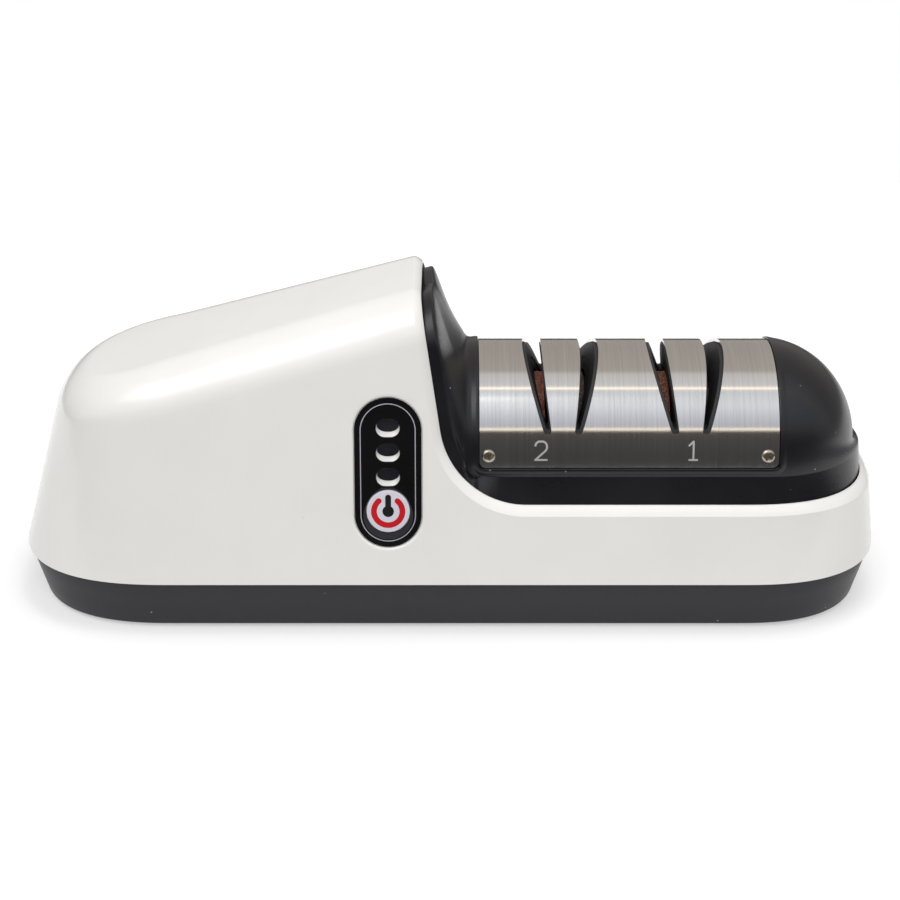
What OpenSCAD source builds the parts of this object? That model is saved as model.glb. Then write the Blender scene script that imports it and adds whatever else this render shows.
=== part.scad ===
// Electric knife sharpener: white casing, black base, steel-covered sharpening saddle.
// Millimetres. +X is the sharpening end, -Y the control panel, +Z up. The origin is on the
// resting plane, under the middle of the object.

/* [Casing] */
// Length of the casing at the line where it meets the base
body_len = 215; // [205:1:225]
// Depth of the casing at that line
body_depth = 70; // [66:1:74]
// Height of the line where casing and base meet
split_z = 13.2; // [12:0.2:15]
// Wall of the white casing
wall = 2.2; // [1.8:0.1:2.6]
// Length of the rounded left end, seen from above
left_end = 40; // [36:1:44]
// Length of the rounded right end, seen from above
right_end = 37; // [34:1:40]
// How square the rounded ends are, 2 is an ellipse
end_power = 2.1; // [2:0.1:2.4]
// Lean of the front and back walls, in degrees
lean_front = 12; // [9:0.5:13]
// Lean of the left end wall
lean_left = 18.8; // [16:0.2:21]
// Lean of the right end wall
lean_right = 6.8; // [5:0.2:8]
// Highest point of the roof, at the edge of the opening
roof_top = 81; // [78:0.5:84]
// Slope of the roof, in degrees
roof_tilt = 16.2; // [14:0.2:17]
// How far the rounding of the roof reaches down the walls
roof_round = 17; // [14:0.5:18]
// Height of the rim round the saddle
rim_z = 31.8; // [30:0.2:33]
// Place of the opening's upright edge, at half its height
edge_x = -2.4; // [-4:0.2:0]
// Lean of the opening's upright edge, in degrees
edge_tilt = 8.8; // [6:0.2:11]
// Radius of the opening's lower corner
edge_r = 21; // [16:0.5:24]

/* [Base] */
// Gap under the base, which the feet make up
foot_drop = 0.8; // [0.6:0.1:1.4]
// Floor and wall of the base
base_wall = 2.2; // [1.8:0.1:2.6]
// How far the base stands in from the casing at the split
base_step = 0.5; // [0.3:0.1:0.8]
// How far the base draws in at the ends, towards its bottom
base_draw_end = 4.3; // [3:0.1:5]
// How far the base draws in at the front and back
base_draw_side = 2.6; // [2:0.1:3.2]
// Diameter of a rubber foot
foot_d = 12; // [10:0.5:14]
// Thickness of a rubber foot
foot_t = 2.2; // [1.8:0.1:2.6]

/* [Saddle] */
// Height of the grinding shaft, which the saddle's arch is centred on
axis_z = 37.2; // [36:0.2:38.4]
// Radius of the black saddle
saddle_r = 25; // [24.6:0.1:25.4]
// Wall of the saddle
saddle_wall = 2.2; // [1.8:0.1:2.4]
// Centre of the domed right end
dome_x = 77.6; // [76.6:0.2:78.4]
// Width of the band beside the casing
band_w = 2; // [1.4:0.2:2.6]

/* [Slot cover] */
// Left end of the steel cover
cover_x0 = 7.1; // [6.6:0.1:7.6]
// Length of the steel cover
cover_len = 72.1; // [71:0.1:73]
// Outer radius of the steel cover
cover_r = 24.3; // [24.1:0.05:24.4]
// Thickness of the steel
cover_t = 0.8; // [0.6:0.1:1]
// Height of the steel's lower edges
cover_z0 = 39.4; // [39:0.2:40.4]
// Middle of the fine stage's pair of slots
fine_x = 27.2; // [26.4:0.2:28]
// Middle of the coarse stage's pair of slots
coarse_x = 57.9; // [57:0.2:58.8]
// Height of the slots' lower ends
slot_z = 47.4; // [46.4:0.2:48.4]
// From the pair's middle to a slot's near side, at its lower end
slot_in = 2.75; // [2.5:0.05:3]
// Width of a slot at its lower end
slot_w = 1.8; // [1.6:0.1:2.2]
// Lean of a slot's near side, in degrees
slot_lean_in = 8; // [6:0.5:9]
// Lean of a slot's far side, in degrees
slot_lean_out = 18.8; // [17:0.2:20]
// Diameter of the cover screws' heads
screw_head_d = 3.4; // [3:0.1:3.8]
// Height of the cover screws
screw_z = 42.3; // [41.8:0.1:43]

/* [Grinding drive] */
// Radius of the abrasive wheels
wheel_r = 16; // [15:0.25:16.5]
// Thickness of one wheel
wheel_t = 3.4; // [3:0.1:3.8]
// From the pair's middle to a wheel's near face
wheel_in = 4; // [3.9:0.1:4.4]
// Depth of the bevel on a wheel's outer face
wheel_bevel = 1.5; // [1:0.1:2]
// Diameter of the grinding shaft
shaft_d = 6; // [5:0.5:7]
// Outer diameter of a ball bearing
bearing_d = 19; // [17:0.5:20]
// Width of a ball bearing
bearing_w = 6; // [5:0.5:7]
// Left face of the left bearing
bearing_x1 = 9.6; // [9.2:0.2:10.4]
// Left face of the right bearing
bearing_x2 = 69.6; // [69:0.2:70.4]
// Diameter of the motor
motor_d = 27.7; // [24:0.1:29]
// Length of the motor's can
motor_len = 33; // [30:0.5:38]
// Right face of the motor
motor_x = -19; // [-21:0.5:-18]
// Diameter of the motor's own shaft
motor_shaft_d = 3.2; // [2.3:0.1:4]
// Outer diameter of the shaft coupling
coupling_d = 12; // [10:0.5:14]

/* [Controls] */
// Middle of the control panel along the casing
panel_x = -14.8; // [-16:0.2:-13.6]
// Height of the panel's middle
panel_z = 40.4; // [39.4:0.2:41.4]
// Width of the panel
panel_w = 16.6; // [15.8:0.2:17.4]
// Height of the panel along the leaning wall
panel_h = 38; // [36:0.5:39]
// Depth of the pocket that the panel lies in
pocket_depth = 0.8; // [0.6:0.1:1]
// Thickness of the panel's film
film_t = 0.5; // [0.4:0.05:0.6]
// Diameter of the power button
button_d = 11; // [10:0.2:12]
// From the panel's middle down to the button
button_down = 9.4; // [9:0.2:10]
// How far the power button travels
button_travel = 0.6; // [0.4:0.1:0.8]
// Width of an indicator window
window_w = 5.7; // [5:0.1:6.2]
// Height of an indicator window
window_h = 4.6; // [4:0.1:5]
// Spacing of the indicator windows
window_pitch = 6; // [5.6:0.1:6.4]
// From the panel's middle up to the top window
window_up = 11.1; // [10.6:0.1:11.6]

/* [Power] */
// Diameter of the battery cell
cell_d = 18.4; // [18:0.1:18.6]
// Length of the battery cell
cell_len = 65; // [60:0.5:66]
// Left end of the battery cell
cell_x = -86.5; // [-88:0.5:-85.5]
// Width of the charging socket
socket_w = 9; // [8.4:0.1:9.4]
// Height of the charging socket
socket_h = 3.2; // [2.8:0.1:3.6]

/* [Fits] */
// Gap between parts that fit together
fit = 0.2; // [0.15:0.05:0.3]
// Radial gap of a turning shaft
run_fit = 0.05; // [0.02:0.01:0.08]
// Gap round moving wheels
wheel_gap = 0.8; // [0.5:0.1:1]

/* [Hidden] */

eps = 0.01;
left_cx = -body_len / 2 + left_end;
right_cx = body_len / 2 - right_end;
lf = tan(lean_front);
ll = tan(lean_left);
lr = tan(lean_right);
rt = tan(roof_tilt);
et = tan(edge_tilt);
edge_mid_z = 50;
roof_x = edge_x - et * (roof_top - edge_mid_z);
cover_x1 = cover_x0 + cover_len;
saddle_fit = wall + fit;

// ---- Outline of the casing --------------------------------------------------------------
function blend(a, b, t) = a + (b - a) * t;
function unit(v) = v / norm(v);
function squared(c) = sign(c) * pow(abs(c), 2 / end_power);

// Where the wall is at height z: q runs 0 to 1 round the left end, 1 to 2 along the front
// and 2 to 3 round the right end, and side is -1 for the front and 1 for the back.
function wall_point(q, z, inset, side) = let(
    h = z - split_z,
    b = body_depth / 2 - inset - h * lf
) q < 1
    ? [left_cx - (left_end - inset - h * ll) * squared(cos(90 * q)), side * b * squared(sin(90 * q)), z]
    : q < 2
        ? [blend(left_cx, right_cx, q - 1), side * b, z]
        : [right_cx + (right_end - inset - h * lr) * squared(sin(90 * (q - 2))),
            side * b * squared(cos(90 * (q - 2))), z];

function roof_height(x, inset) = roof_top - inset / cos(roof_tilt) + rt * (x - roof_x);

// Height at which the wall line q would meet the roof in a sharp corner.
function corner_z(q, inset) = let(
    foot = wall_point(q, 0, inset, -1)[0],
    run = wall_point(q, 1, inset, -1)[0] - foot
) roof_height(foot, inset) / (1 - rt * run);

// A point on the wall, the rounded corner or the roof: t runs 0 to 1 up the wall, 1 to 2
// round the corner and 2 to 3 over the roof to its middle line.
function skin_point(q, t, inset, side) = let(
    zc = corner_z(q, inset),
    corner = wall_point(q, zc, inset, side),
    down = unit(wall_point(q, zc - 1, inset, side) - corner),
    mid_x = q < 1 ? left_cx : q < 2 ? corner[0] : right_cx,
    middle = [mid_x, 0, roof_height(mid_x, inset)],
    reach = roof_round - inset * 0.8,
    a = corner + reach * down,
    b = corner + min(reach, 0.95 * norm(middle - corner)) * unit(middle - corner),
    w = cos((90 - lean_front) / 2),
    u = t - 1,
    k0 = pow(1 - u, 2),
    k1 = 2 * w * u * (1 - u),
    k2 = u * u
) t <= 1
    ? blend(wall_point(q, split_z, inset, side), a, t)
    : t < 2
        ? (k0 * a + k1 * corner + k2 * b) / (k0 + k1 + k2)
        : blend(b, middle, t - 2);

// Rings of equal length, stacked from the bottom up, closed by a flat cap at each end.
module loft(rings) {
    n = len(rings[0]);
    m = len(rings);
    sides = [for (j = [0:m - 2]) for (i = [0:n - 1]) let(k = (i + 1) % n)
        each [[j * n + i, (j + 1) * n + k, j * n + k], [j * n + i, (j + 1) * n + i, (j + 1) * n + k]]];
    caps = [[for (i = [0:n - 1]) i], [for (i = [n - 1:-1:0]) (m - 1) * n + i]];
    polyhedron(points = [for (r = rings) each r], faces = concat(sides, caps), convexity = 6);
}

// Places along the front half, closer together round the ends.
end_steps = 12;
front_places = concat([for (i = [0:end_steps]) i / end_steps], [1.25, 1.5, 1.75],
    [for (i = [0:end_steps]) 2 + i / end_steps]);
last_place = len(front_places) - 1;
ring_places = concat([for (q = front_places) [q, -1]],
    [for (i = [last_place - 1:-1:1]) [front_places[i], 1]]);

function wall_ring(z, inset) = [for (p = ring_places) wall_point(p[0], z, inset, p[1])];
function skin_ring(t, inset) = [for (p = ring_places) skin_point(p[0], t, inset, p[1])];

// The casing as if it had no opening, its walls drawn in by inset.
module envelope(inset, z0) {
    round_steps = [for (k = [0:6]) 1 + k / 6];
    loft(concat([wall_ring(z0, inset)], [for (t = round_steps) skin_ring(min(t, 2), inset)]));
}

// Outline of the opening seen from the front, moved out by grow.
module opening_profile(grow) {
    r = edge_r - grow;
    low = rim_z - grow;
    cx = edge_x - et * (low + r - edge_mid_z) - grow / cos(edge_tilt) + r / cos(edge_tilt);
    top = roof_top * 2;
    right = body_len;
    arc = [for (a = [180 + edge_tilt:6:270]) [cx + r * cos(a), low + r + r * sin(a)]];
    tip = [edge_x - et * (top - edge_mid_z) - grow / cos(edge_tilt), top];
    polygon(concat([tip], arc, [[cx, low], [right, low], [right, top]]));
}

module opening(grow) {
    rotate([90, 0, 0]) linear_extrude(body_depth * 2, center = true) opening_profile(grow);
}

// ---- Places on the leaning front wall -----------------------------------------------------
module on_panel() {
    y = -body_depth / 2 + (panel_z - split_z) * lf;
    translate([panel_x, y, panel_z]) rotate([90 - lean_front, 0, 0]) children();
}

// Flat round-ended plates, one standing and one lying.
module stadium_plate(w, h, t) {
    hull() for (s = [-1, 1]) translate([0, s * (h - w) / 2, 0]) cylinder(d = w, h = t, $fn = 64);
}

module window_plate(w, h, t) {
    hull() for (s = [-1, 1]) translate([s * (w - h) / 2, 0, 0]) cylinder(d = h, h = t, $fn = 48);
}

module at_windows() {
    for (i = [0:2]) translate([0, window_up - i * window_pitch, 0]) children();
}

module at_button() {
    translate([0, -button_down, 0]) children();
}

// ---- Casing -------------------------------------------------------------------------------
left_screw_x = -body_len / 2 + 17.5;
mid_screw_x = left_cx + 27.5;
right_screw_x = body_len / 2 - 16.5;
side_screw_y = body_depth / 2 - 9.5;
screw_spots = [[left_screw_x, 9], [left_screw_x, -9], [mid_screw_x, side_screw_y],
    [mid_screw_x, -side_screw_y], [right_screw_x, 8], [right_screw_x, -8]];
shell_screws = 4;
boss_d = 7;
screw_d = 2.8;
pilot_d = 3;
post_d = 4.6;
board_posts = [[-6.4, 20.6], [6.4, -20.6]];
board_z = -11;
board_t = 1.6;
socket_x = left_cx + 7.5;
socket_z = 24;
socket_len = 7.3;

rib_t = 1.6;
// From each screw of the casing and the saddle to the wall its rib runs to.
rib_runs = [[-16, 0], [-16, 0], [0, 8], [0, -8], [12, 0], [12, 0]];

// A moulded boss, drawn a little thinner towards its open end.
module boss(i, z0, z1) {
    hull() {
        translate([screw_spots[i][0], screw_spots[i][1], z0]) cylinder(d = boss_d - 0.6, h = 1, $fn = 40);
        translate([screw_spots[i][0], screw_spots[i][1], z1 - 1]) cylinder(d = boss_d + 0.8, h = 1, $fn = 40);
    }
}

// The rib that ties a boss to the wall beside it.
module boss_rib(i, z0, z1) {
    hull() for (k = [0, 1])
        translate([screw_spots[i][0] + k * rib_runs[i][0], screw_spots[i][1] + k * rib_runs[i][1], z0])
            cylinder(d = rib_t, h = z1 - z0, $fn = 16);
}

module upper_shell() {
    color("whitesmoke") difference() {
        envelope(0, split_z);
        difference() {
            envelope(wall, split_z - 1);
            for (i = [0:shell_screws - 1]) {
                boss(i, split_z - 2, roof_top + 10);
                boss_rib(i, split_z + 4, split_z + 16);
            }
            on_panel() for (p = board_posts) translate([p[0], p[1], board_z + board_t])
                cylinder(d = post_d, h = -board_z, $fn = 32);
        }
        opening(0);
        for (i = [0:shell_screws - 1]) translate([screw_spots[i][0], screw_spots[i][1], split_z - 1])
            cylinder(d = pilot_d, h = 12, $fn = 32);
        on_panel() {
            translate([0, 0, -pocket_depth]) stadium_plate(panel_w + 2 * fit, panel_h + 2 * fit, 5);
            at_windows() translate([0, 0, -8]) window_plate(window_w, window_h, 10);
            at_button() translate([0, 0, -8]) cylinder(d = button_d + 2 * fit, h = 10, $fn = 64);
            for (p = board_posts) translate([p[0], p[1], board_z]) cylinder(d = 2.1, h = board_t + 6, $fn = 24);
        }
        translate([socket_x, 22, socket_z]) rotate([-90, 0, 0])
            window_plate(socket_w + 2 * fit, socket_h + 2 * fit, 20);
    }
}

// ---- Base ---------------------------------------------------------------------------------
floor_z = foot_drop + base_wall;
base_top = split_z - fit;
cell_z = floor_z + fit + cell_d / 2;
cradle_places = [for (d = [8.5, 38.5, 56.5]) cell_x + d];
foot_in = 15;
foot_left_x = left_cx - 2.5;
foot_right_x = right_cx + 1.5;
foot_spots = [for (x = [foot_left_x, foot_right_x]) for (s = [1, -1]) [x, s * (body_depth / 2 - foot_in)]];

function base_point(q, z, inset, side) = let(
    low = 1 - (z - foot_drop) / (split_z - foot_drop),
    b = body_depth / 2 - base_step - inset - base_draw_side * low,
    al = left_end - base_step - inset - base_draw_end * low,
    ar = right_end - base_step - inset - base_draw_end * low
) q < 1
    ? [left_cx - al * squared(cos(90 * q)), side * b * squared(sin(90 * q)), z]
    : q < 2
        ? [blend(left_cx, right_cx, q - 1), side * b, z]
        : [right_cx + ar * squared(sin(90 * (q - 2))), side * b * squared(cos(90 * (q - 2))), z];

function base_ring(z, inset) = [for (p = ring_places) base_point(p[0], z, inset, p[1])];

module base_tray() {
    color("dimgray") difference() {
        union() {
            difference() {
                loft([base_ring(foot_drop, 1.5), base_ring(foot_drop + 0.4, 0.6),
                    base_ring(foot_drop + 1.5, 0), base_ring(base_top, 0)]);
                loft([base_ring(floor_z, base_wall), base_ring(base_top + 1, base_wall)]);
            }
            difference() {
                loft([wall_ring(floor_z + 3, wall + fit + 2), wall_ring(base_top - 2, wall + fit),
                    wall_ring(split_z + 2, wall + fit)]);
                loft([wall_ring(floor_z + 2, wall + fit + 3.4), wall_ring(base_top - 2, wall + fit + 1.4),
                    wall_ring(split_z + 3, wall + fit + 1.4)]);
            }
            for (p = screw_spots) translate([p[0], p[1], foot_drop + 1])
                cylinder(d = boss_d + 1, h = split_z - foot_drop - 1, $fn = 40);
            for (x = cradle_places) translate([x - 1, -13, floor_z - eps]) cube([2, 26, cell_z - floor_z]);
            for (p = bracket_spots) translate([p[0], p[1], floor_z - eps])
                cylinder(d = 6, h = 3, $fn = 32);
            for (s = [-1, 1]) translate([socket_x + s * 6, charge_y - 4.5, floor_z - eps])
                cylinder(d = 5, h = board_floor - floor_z, $fn = 32);
            at_strap_screws() cylinder(d = 6, h = 3, $fn = 32);
        }
        for (p = screw_spots) translate([p[0], p[1], -1]) {
            cylinder(d = screw_d + 0.6, h = 20, $fn = 32);
            cylinder(d = 6.6, h = foot_drop + 5, $fn = 40);
        }
        for (p = foot_spots) translate([p[0], p[1], -1])
            cylinder(d = foot_d + 2 * fit, h = foot_t + 1, $fn = 64);
        translate([cell_x - fit, 0, cell_z]) rotate([0, 90, 0])
            cylinder(d = cell_d + 2 * fit, h = cell_len + 2 * fit, $fn = 64);
        for (p = bracket_spots) translate([p[0], p[1], floor_z]) cylinder(d = 2, h = 4, $fn = 24);
        at_strap_screws() cylinder(d = strap_screw_d, h = 4, $fn = 24);
    }
}

module rubber_feet() {
    color("black") for (p = foot_spots) translate([p[0], p[1], 0]) {
        cylinder(d = foot_d, h = foot_t - fit, $fn = 64);
    }
}

module case_screws() {
    color("silver") for (p = screw_spots) translate([p[0], p[1], foot_drop + 4]) {
        translate([0, 0, -2]) cylinder(d = 5.6, h = 2, $fn = 40);
        cylinder(d = screw_d, h = 15, $fn = 32);
    }
}

// ---- Saddle -------------------------------------------------------------------------------
land_t = 2;
land_r = cover_r - cover_t - land_t;
skirt_z = 22;
dome_end = right_cx + right_end - saddle_fit - lr * (rim_z - split_z);

function place_at(x) = 1 + (x - left_cx) / (right_cx - left_cx);

// Where the opening's edge is at height z.
function edge_at(z) = let(
    r = edge_r,
    h = max(0, rim_z + r - z)
) edge_x - et * (z - edge_mid_z) + (h >= r ? r : r - sqrt(r * r - h * h));

// Half depth of the casing's inside at x and z.
function inside_y(x, z, inset) = let(
    h = z - split_z,
    b = body_depth / 2 - inset - h * lf,
    a = right_end - inset - h * lr,
    u = min(1, max(0, (x - right_cx) / a))
) b * pow(1 - pow(u, end_power), 1 / end_power);

// How much of the casing's own section is left at a distance from the edge.
function flare(x, z) = let(
    d = x - edge_at(z) - band_w,
    run = min(14, max(5, cover_x0 + 1 - edge_at(z) - band_w))
) d <= 0 ? 1 : pow(max(0, 1 - d / run), 2);

// Front half of the saddle's section at x, from the skirt up to the ridge.
arch_steps = 12;
function saddle_half(x, inset, r, low) = let(
    q = place_at(min(x, right_cx - 1)),
    shrink = x <= dome_x ? 1 : sqrt(max(0, 1 - pow((x - dome_x) / (dome_end + r - saddle_r - dome_x), 2))),
    tz = (axis_z - split_z) / (skin_point(q, 1, inset, -1)[2] - split_z)
) concat(
    [for (z = [low, rim_z - 0.8]) [-inside_y(x, z, inset), z]],
    [for (k = [0:arch_steps]) let(
        a = 90 * k / arch_steps,
        own = [-r * shrink * cos(a), axis_z + r * shrink * sin(a)],
        case = skin_point(q, tz + (3 - tz) * k / arch_steps, inset, -1),
        g = flare(x, case[2])
    ) own + g * ([case[1], case[2]] - own)]
);

function saddle_section(x, inset, r, low) = let(
    half = saddle_half(x, inset, r, low),
    n = len(half)
) [for (i = [0:2 * n - 2]) i < n ? [x, -half[i][0], half[i][1]]
    : [x, half[2 * n - 2 - i][0], half[2 * n - 2 - i][1]]];

module saddle_form(inset, r, low, start) {
    reach = dome_end + r - saddle_r - dome_x;
    places = concat([start], [for (x = [-8:1.5:7]) x], [9, 12, 16, 21, 26, 50],
        [for (a = [0:9:81]) dome_x + reach * sin(a)]);
    loft([for (x = places) saddle_section(x, inset, r, low)]);
}

module along_x(x, d, h, fn = 96) {
    translate([x, 0, axis_z]) rotate([0, 90, 0]) cylinder(d = d, h = h, $fn = fn);
}

// A ring round the shaft's axis, kept above height z.
module arch(x, len, outer, inner, z) {
    difference() {
        along_x(x, 2 * outer, len, 180);
        along_x(x - 1, 2 * inner, len + 2, 180);
        translate([x - 1, -outer - 1, axis_z - outer - 1]) cube([len + 2, 2 * outer + 2, z - axis_z + outer + 1]);
    }
}

screw_angle = asin((screw_z - axis_z) / cover_r);
cover_screw_x = [cover_x0 + 2.2, cover_x1 - 2.6];

module at_cover_screws() {
    for (x = cover_screw_x) for (s = [-1, 1]) translate([x, 0, axis_z])
        rotate([s * (90 - screw_angle), 0, 0]) translate([0, 0, cover_r]) children();
}

window_inset = 3.4;
window_z = 45;

cover_boss_d = 4.6;

// The bosses the slot cover's screws bite into, on the inside of the saddle.
module cover_bosses(grow) {
    at_cover_screws() hull() {
        translate([0, 0, -7]) cylinder(d = cover_boss_d - 0.4 + 2 * grow, h = 1, $fn = 32);
        translate([0, 0, -3]) cylinder(d = cover_boss_d + 2 * grow, h = 1, $fn = 32);
    }
}

module saddle_housing() {
    color("#2a2b31") difference() {
        union() {
            intersection() {
                saddle_form(saddle_fit, saddle_r, skirt_z, -13);
                opening(wall * 1.4);
            }
            for (i = [4, 5]) boss(i, split_z, split_z + 24);
        }
        difference() {
            saddle_form(saddle_fit + saddle_wall, land_r, skirt_z - 1, -16);
            for (i = [4, 5]) {
                translate([screw_spots[i][0], screw_spots[i][1], split_z])
                    cylinder(d = boss_d + 1.4, h = roof_top, $fn = 40);
                boss_rib(i, split_z + 1, axis_z);
            }
            cover_bosses(0);
        }
        for (i = [4, 5]) translate([screw_spots[i][0], screw_spots[i][1], split_z - 1])
            cylinder(d = pilot_d, h = 12, $fn = 32);
        arch(cover_x0 - fit, cover_len + 2 * fit, 40, cover_r - cover_t, cover_z0 - fit);
        translate([cover_x0 + window_inset, -40, window_z]) cube([cover_len - 2 * window_inset, 80, 40]);
        at_cover_screws() translate([0, 0, -6]) cylinder(d = 1.8, h = 8, $fn = 24);
    }
}

// ---- Slot cover ---------------------------------------------------------------------------
stages = [fine_x, coarse_x];

// One slot seen from the front, right of its stage's middle, narrowed by less on each side.
module slot_profile(less) {
    top = axis_z + cover_r + 4;
    h = top - slot_z;
    near = slot_in + less;
    far = slot_in + slot_w - less;
    low = slot_z + less;
    r = 0.4;
    polygon([[near + r, low], [far - r, low], [far, low + r], [far + h * tan(slot_lean_out), top],
        [near + h * tan(slot_lean_in), top], [near, low + r]]);
}

module slot_cuts(less) {
    for (c = stages) for (s = [0, 1]) translate([c, 0, 0]) mirror([s, 0, 0])
        rotate([90, 0, 0]) linear_extrude(80, center = true) slot_profile(less);
}

module slot_cover() {
    color("silver") difference() {
        arch(cover_x0, cover_len, cover_r, cover_r - cover_t, cover_z0);
        slot_cuts(0);
        at_cover_screws() translate([0, 0, -3]) cylinder(d = 2.1, h = 6, $fn = 32);
    }
}

module cover_screws() {
    color("silver") at_cover_screws() {
        cylinder(d = screw_head_d, h = 0.6, $fn = 40);
        translate([0, 0, -4]) cylinder(d = 1.7, h = 4 + eps, $fn = 24);
    }
}

liner = 0.45;
web_t = 1;
web_z = 44;

// The guide's two walls beside a slot, seen from the front.
module web_profile() {
    top = axis_z + land_r;
    h = top - slot_z;
    near = slot_in + liner;
    far = slot_in + slot_w - liner;
    near_top = near + h * tan(slot_lean_in);
    far_top = far + h * tan(slot_lean_out);
    polygon([[near, slot_z], [near_top, top], [near_top - web_t, top], [near - web_t, slot_z],
        [near - web_t, web_z], [near, web_z]]);
    polygon([[far, slot_z], [far_top, top], [far_top + web_t * 1.2, top], [far + web_t * 1.2, slot_z]]);
}

module blade_guide() {
    guide_x = cover_x0 + window_inset + fit;
    guide_len = cover_len - 2 * window_inset - 2 * fit;
    flange_r = land_r - fit;
    color("#202024") difference() {
        union() {
            arch(guide_x, guide_len, cover_r - cover_t - fit, flange_r - 1.6, window_z + fit);
            arch(cover_x0 + 1, cover_len - 2, flange_r, flange_r - 1.6, window_z - 2.4);
            intersection() {
                for (c = stages) for (s = [0, 1]) translate([c, 0, 0]) mirror([s, 0, 0])
                    rotate([90, 0, 0]) linear_extrude(60, center = true) web_profile();
                along_x(0, 2 * flange_r - 2, 100, 180);
            }
        }
        slot_cuts(liner);
        for (c = stages) for (s = [0, 1]) translate([c, 0, 0]) mirror([s, 0, 0])
            along_x(wheel_in - 0.4, 2 * (wheel_r + wheel_gap), wheel_t + 0.8 + wheel_gap, 120);
        at_cover_screws() translate([0, 0, -8]) cylinder(d = cover_boss_d + 2 * fit, h = 9, $fn = 40);
    }
}

// ---- Grinding drive -----------------------------------------------------------------------
shaft_x0 = -2;
shaft_x1 = 79;
coupling_x0 = -10;
coupling_len = 14;
clip_x = bearing_x2 + bearing_w + 0.4;

module grinding_shaft() {
    color("lightgray") along_x(shaft_x0, shaft_d, shaft_x1 - shaft_x0);
}

// A wheel at a stage's middle c, its bevelled face away from the middle.
module wheel(c, side) {
    translate([c, 0, axis_z]) mirror([side < 0 ? 1 : 0, 0, 0]) rotate([0, 90, 0]) translate([0, 0, wheel_in])
        rotate_extrude($fn = 128) polygon([[shaft_d / 2 + run_fit, 0], [wheel_r, 0],
            [wheel_r, wheel_t - wheel_bevel], [wheel_r - 2 * wheel_bevel, wheel_t], [shaft_d / 2 + run_fit, wheel_t]]);
}

module fine_wheel_left() {
    color("#6e3c30") wheel(fine_x, -1);
}

module fine_wheel_right() {
    color("#3a3a3c") wheel(fine_x, 1);
}

module coarse_wheel_left() {
    color("#6e3c30") wheel(coarse_x, -1);
}

module coarse_wheel_right() {
    color("#3a3a3c") wheel(coarse_x, 1);
}

module sleeve(x0, x1) {
    difference() {
        along_x(x0 + 0.05, 10, x1 - x0 - 0.1, 64);
        along_x(x0 - 1, shaft_d + 2 * run_fit, x1 - x0 + 2, 64);
    }
}

module wheel_spacers() {
    out = wheel_in + wheel_t;
    color("lightgray") {
        sleeve(bearing_x1 + bearing_w + 0.3, fine_x - out);
        sleeve(fine_x - wheel_in, fine_x + wheel_in);
        sleeve(fine_x + out, coarse_x - out);
        sleeve(coarse_x - wheel_in, coarse_x + wheel_in);
        sleeve(coarse_x + out, bearing_x2 - 0.3);
    }
}

module shaft_clip() {
    color("lightgray") difference() {
        along_x(clip_x, 11, 0.8, 48);
        along_x(clip_x - 1, shaft_d + 2 * run_fit, 3, 48);
    }
}

module shaft_coupling() {
    color("#404045") difference() {
        along_x(coupling_x0, coupling_d, coupling_len, 64);
        along_x(coupling_x0 - 1, motor_shaft_d + 2 * run_fit, shaft_x0 - coupling_x0 + 1, 48);
        along_x(shaft_x0 - 0.3, shaft_d + 2 * run_fit, coupling_len, 64);
        along_x(shaft_x0 - 0.3 + eps, motor_shaft_d + 2 * run_fit, 1, 48);
    }
}

module bearing(x) {
    color("silver") difference() {
        along_x(x, bearing_d, bearing_w, 96);
        along_x(x - 1, shaft_d + 2 * run_fit, bearing_w + 2, 64);
        for (f = [x - 1 + eps, x + bearing_w - 0.4]) difference() {
            along_x(f, bearing_d - 3.6, 1.4, 64);
            along_x(f - 1, shaft_d + 3.4, 4, 64);
        }
    }
}

module bearing_left() {
    bearing(bearing_x1);
}

module bearing_right() {
    bearing(bearing_x2);
}

foot_half = 16;
bracket_foot = 3;
bearing_r = bearing_d / 2 + 3.5;
bracket_spots = [[bearing_x1 + 3, foot_half], [bearing_x1 + 3, -foot_half],
    [bearing_x2 + 3, foot_half], [bearing_x2 + 3, -foot_half],
    [motor_x + 7, foot_half - 2], [motor_x + 7, 2 - foot_half]];
foot_top = floor_z + 3;

module bracket_screw_holes() {
    for (p = bracket_spots) translate([p[0], p[1], floor_z]) cylinder(d = 2.6, h = 12, $fn = 24);
}

module bearing_bracket(x) {
    color("#303034") difference() {
        union() {
            along_x(x, 2 * bearing_r, bearing_w, 96);
            translate([x, -bearing_r, foot_top]) cube([bearing_w, 2 * bearing_r, axis_z - foot_top]);
            translate([x - 1, -foot_half - 4, foot_top]) cube([bearing_w + 2, 2 * foot_half + 8, bracket_foot]);
        }
        along_x(x - 1, bearing_d + 2 * run_fit, bearing_w + 2, 96);
        translate([x - 1, -6, foot_top + 6]) cube([bearing_w + 2, 12, 8]);
        bracket_screw_holes();
    }
}

module bearing_bracket_left() {
    bearing_bracket(bearing_x1);
}

module bearing_bracket_right() {
    bearing_bracket(bearing_x2);
}

module motor_can() {
    color("silver") difference() {
        union() {
            along_x(motor_x - motor_len, motor_d, motor_len, 96);
            along_x(motor_x - eps, 10, 2.2, 48);
        }
        along_x(motor_x - motor_len - 1, motor_shaft_d + 2 * run_fit, motor_len + 6, 48);
        for (s = [-1, 1]) translate([0, s * 8, 0]) along_x(motor_x - 3, 2.6, 4, 24);
    }
}

module motor_end_cap() {
    end = motor_x - motor_len;
    color("#e8e4d8") difference() {
        union() {
            along_x(end - 2, motor_d - 3, 2, 96);
            along_x(end - 4.5, 9, 2.5 + eps, 48);
            for (s = [-1, 1]) translate([end - 5, s * 9 - 1.2, axis_z - 0.3]) cube([5, 2.4, 0.6]);
        }
        along_x(end - 6, motor_shaft_d + 2 * run_fit, 8, 48);
    }
}

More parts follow.
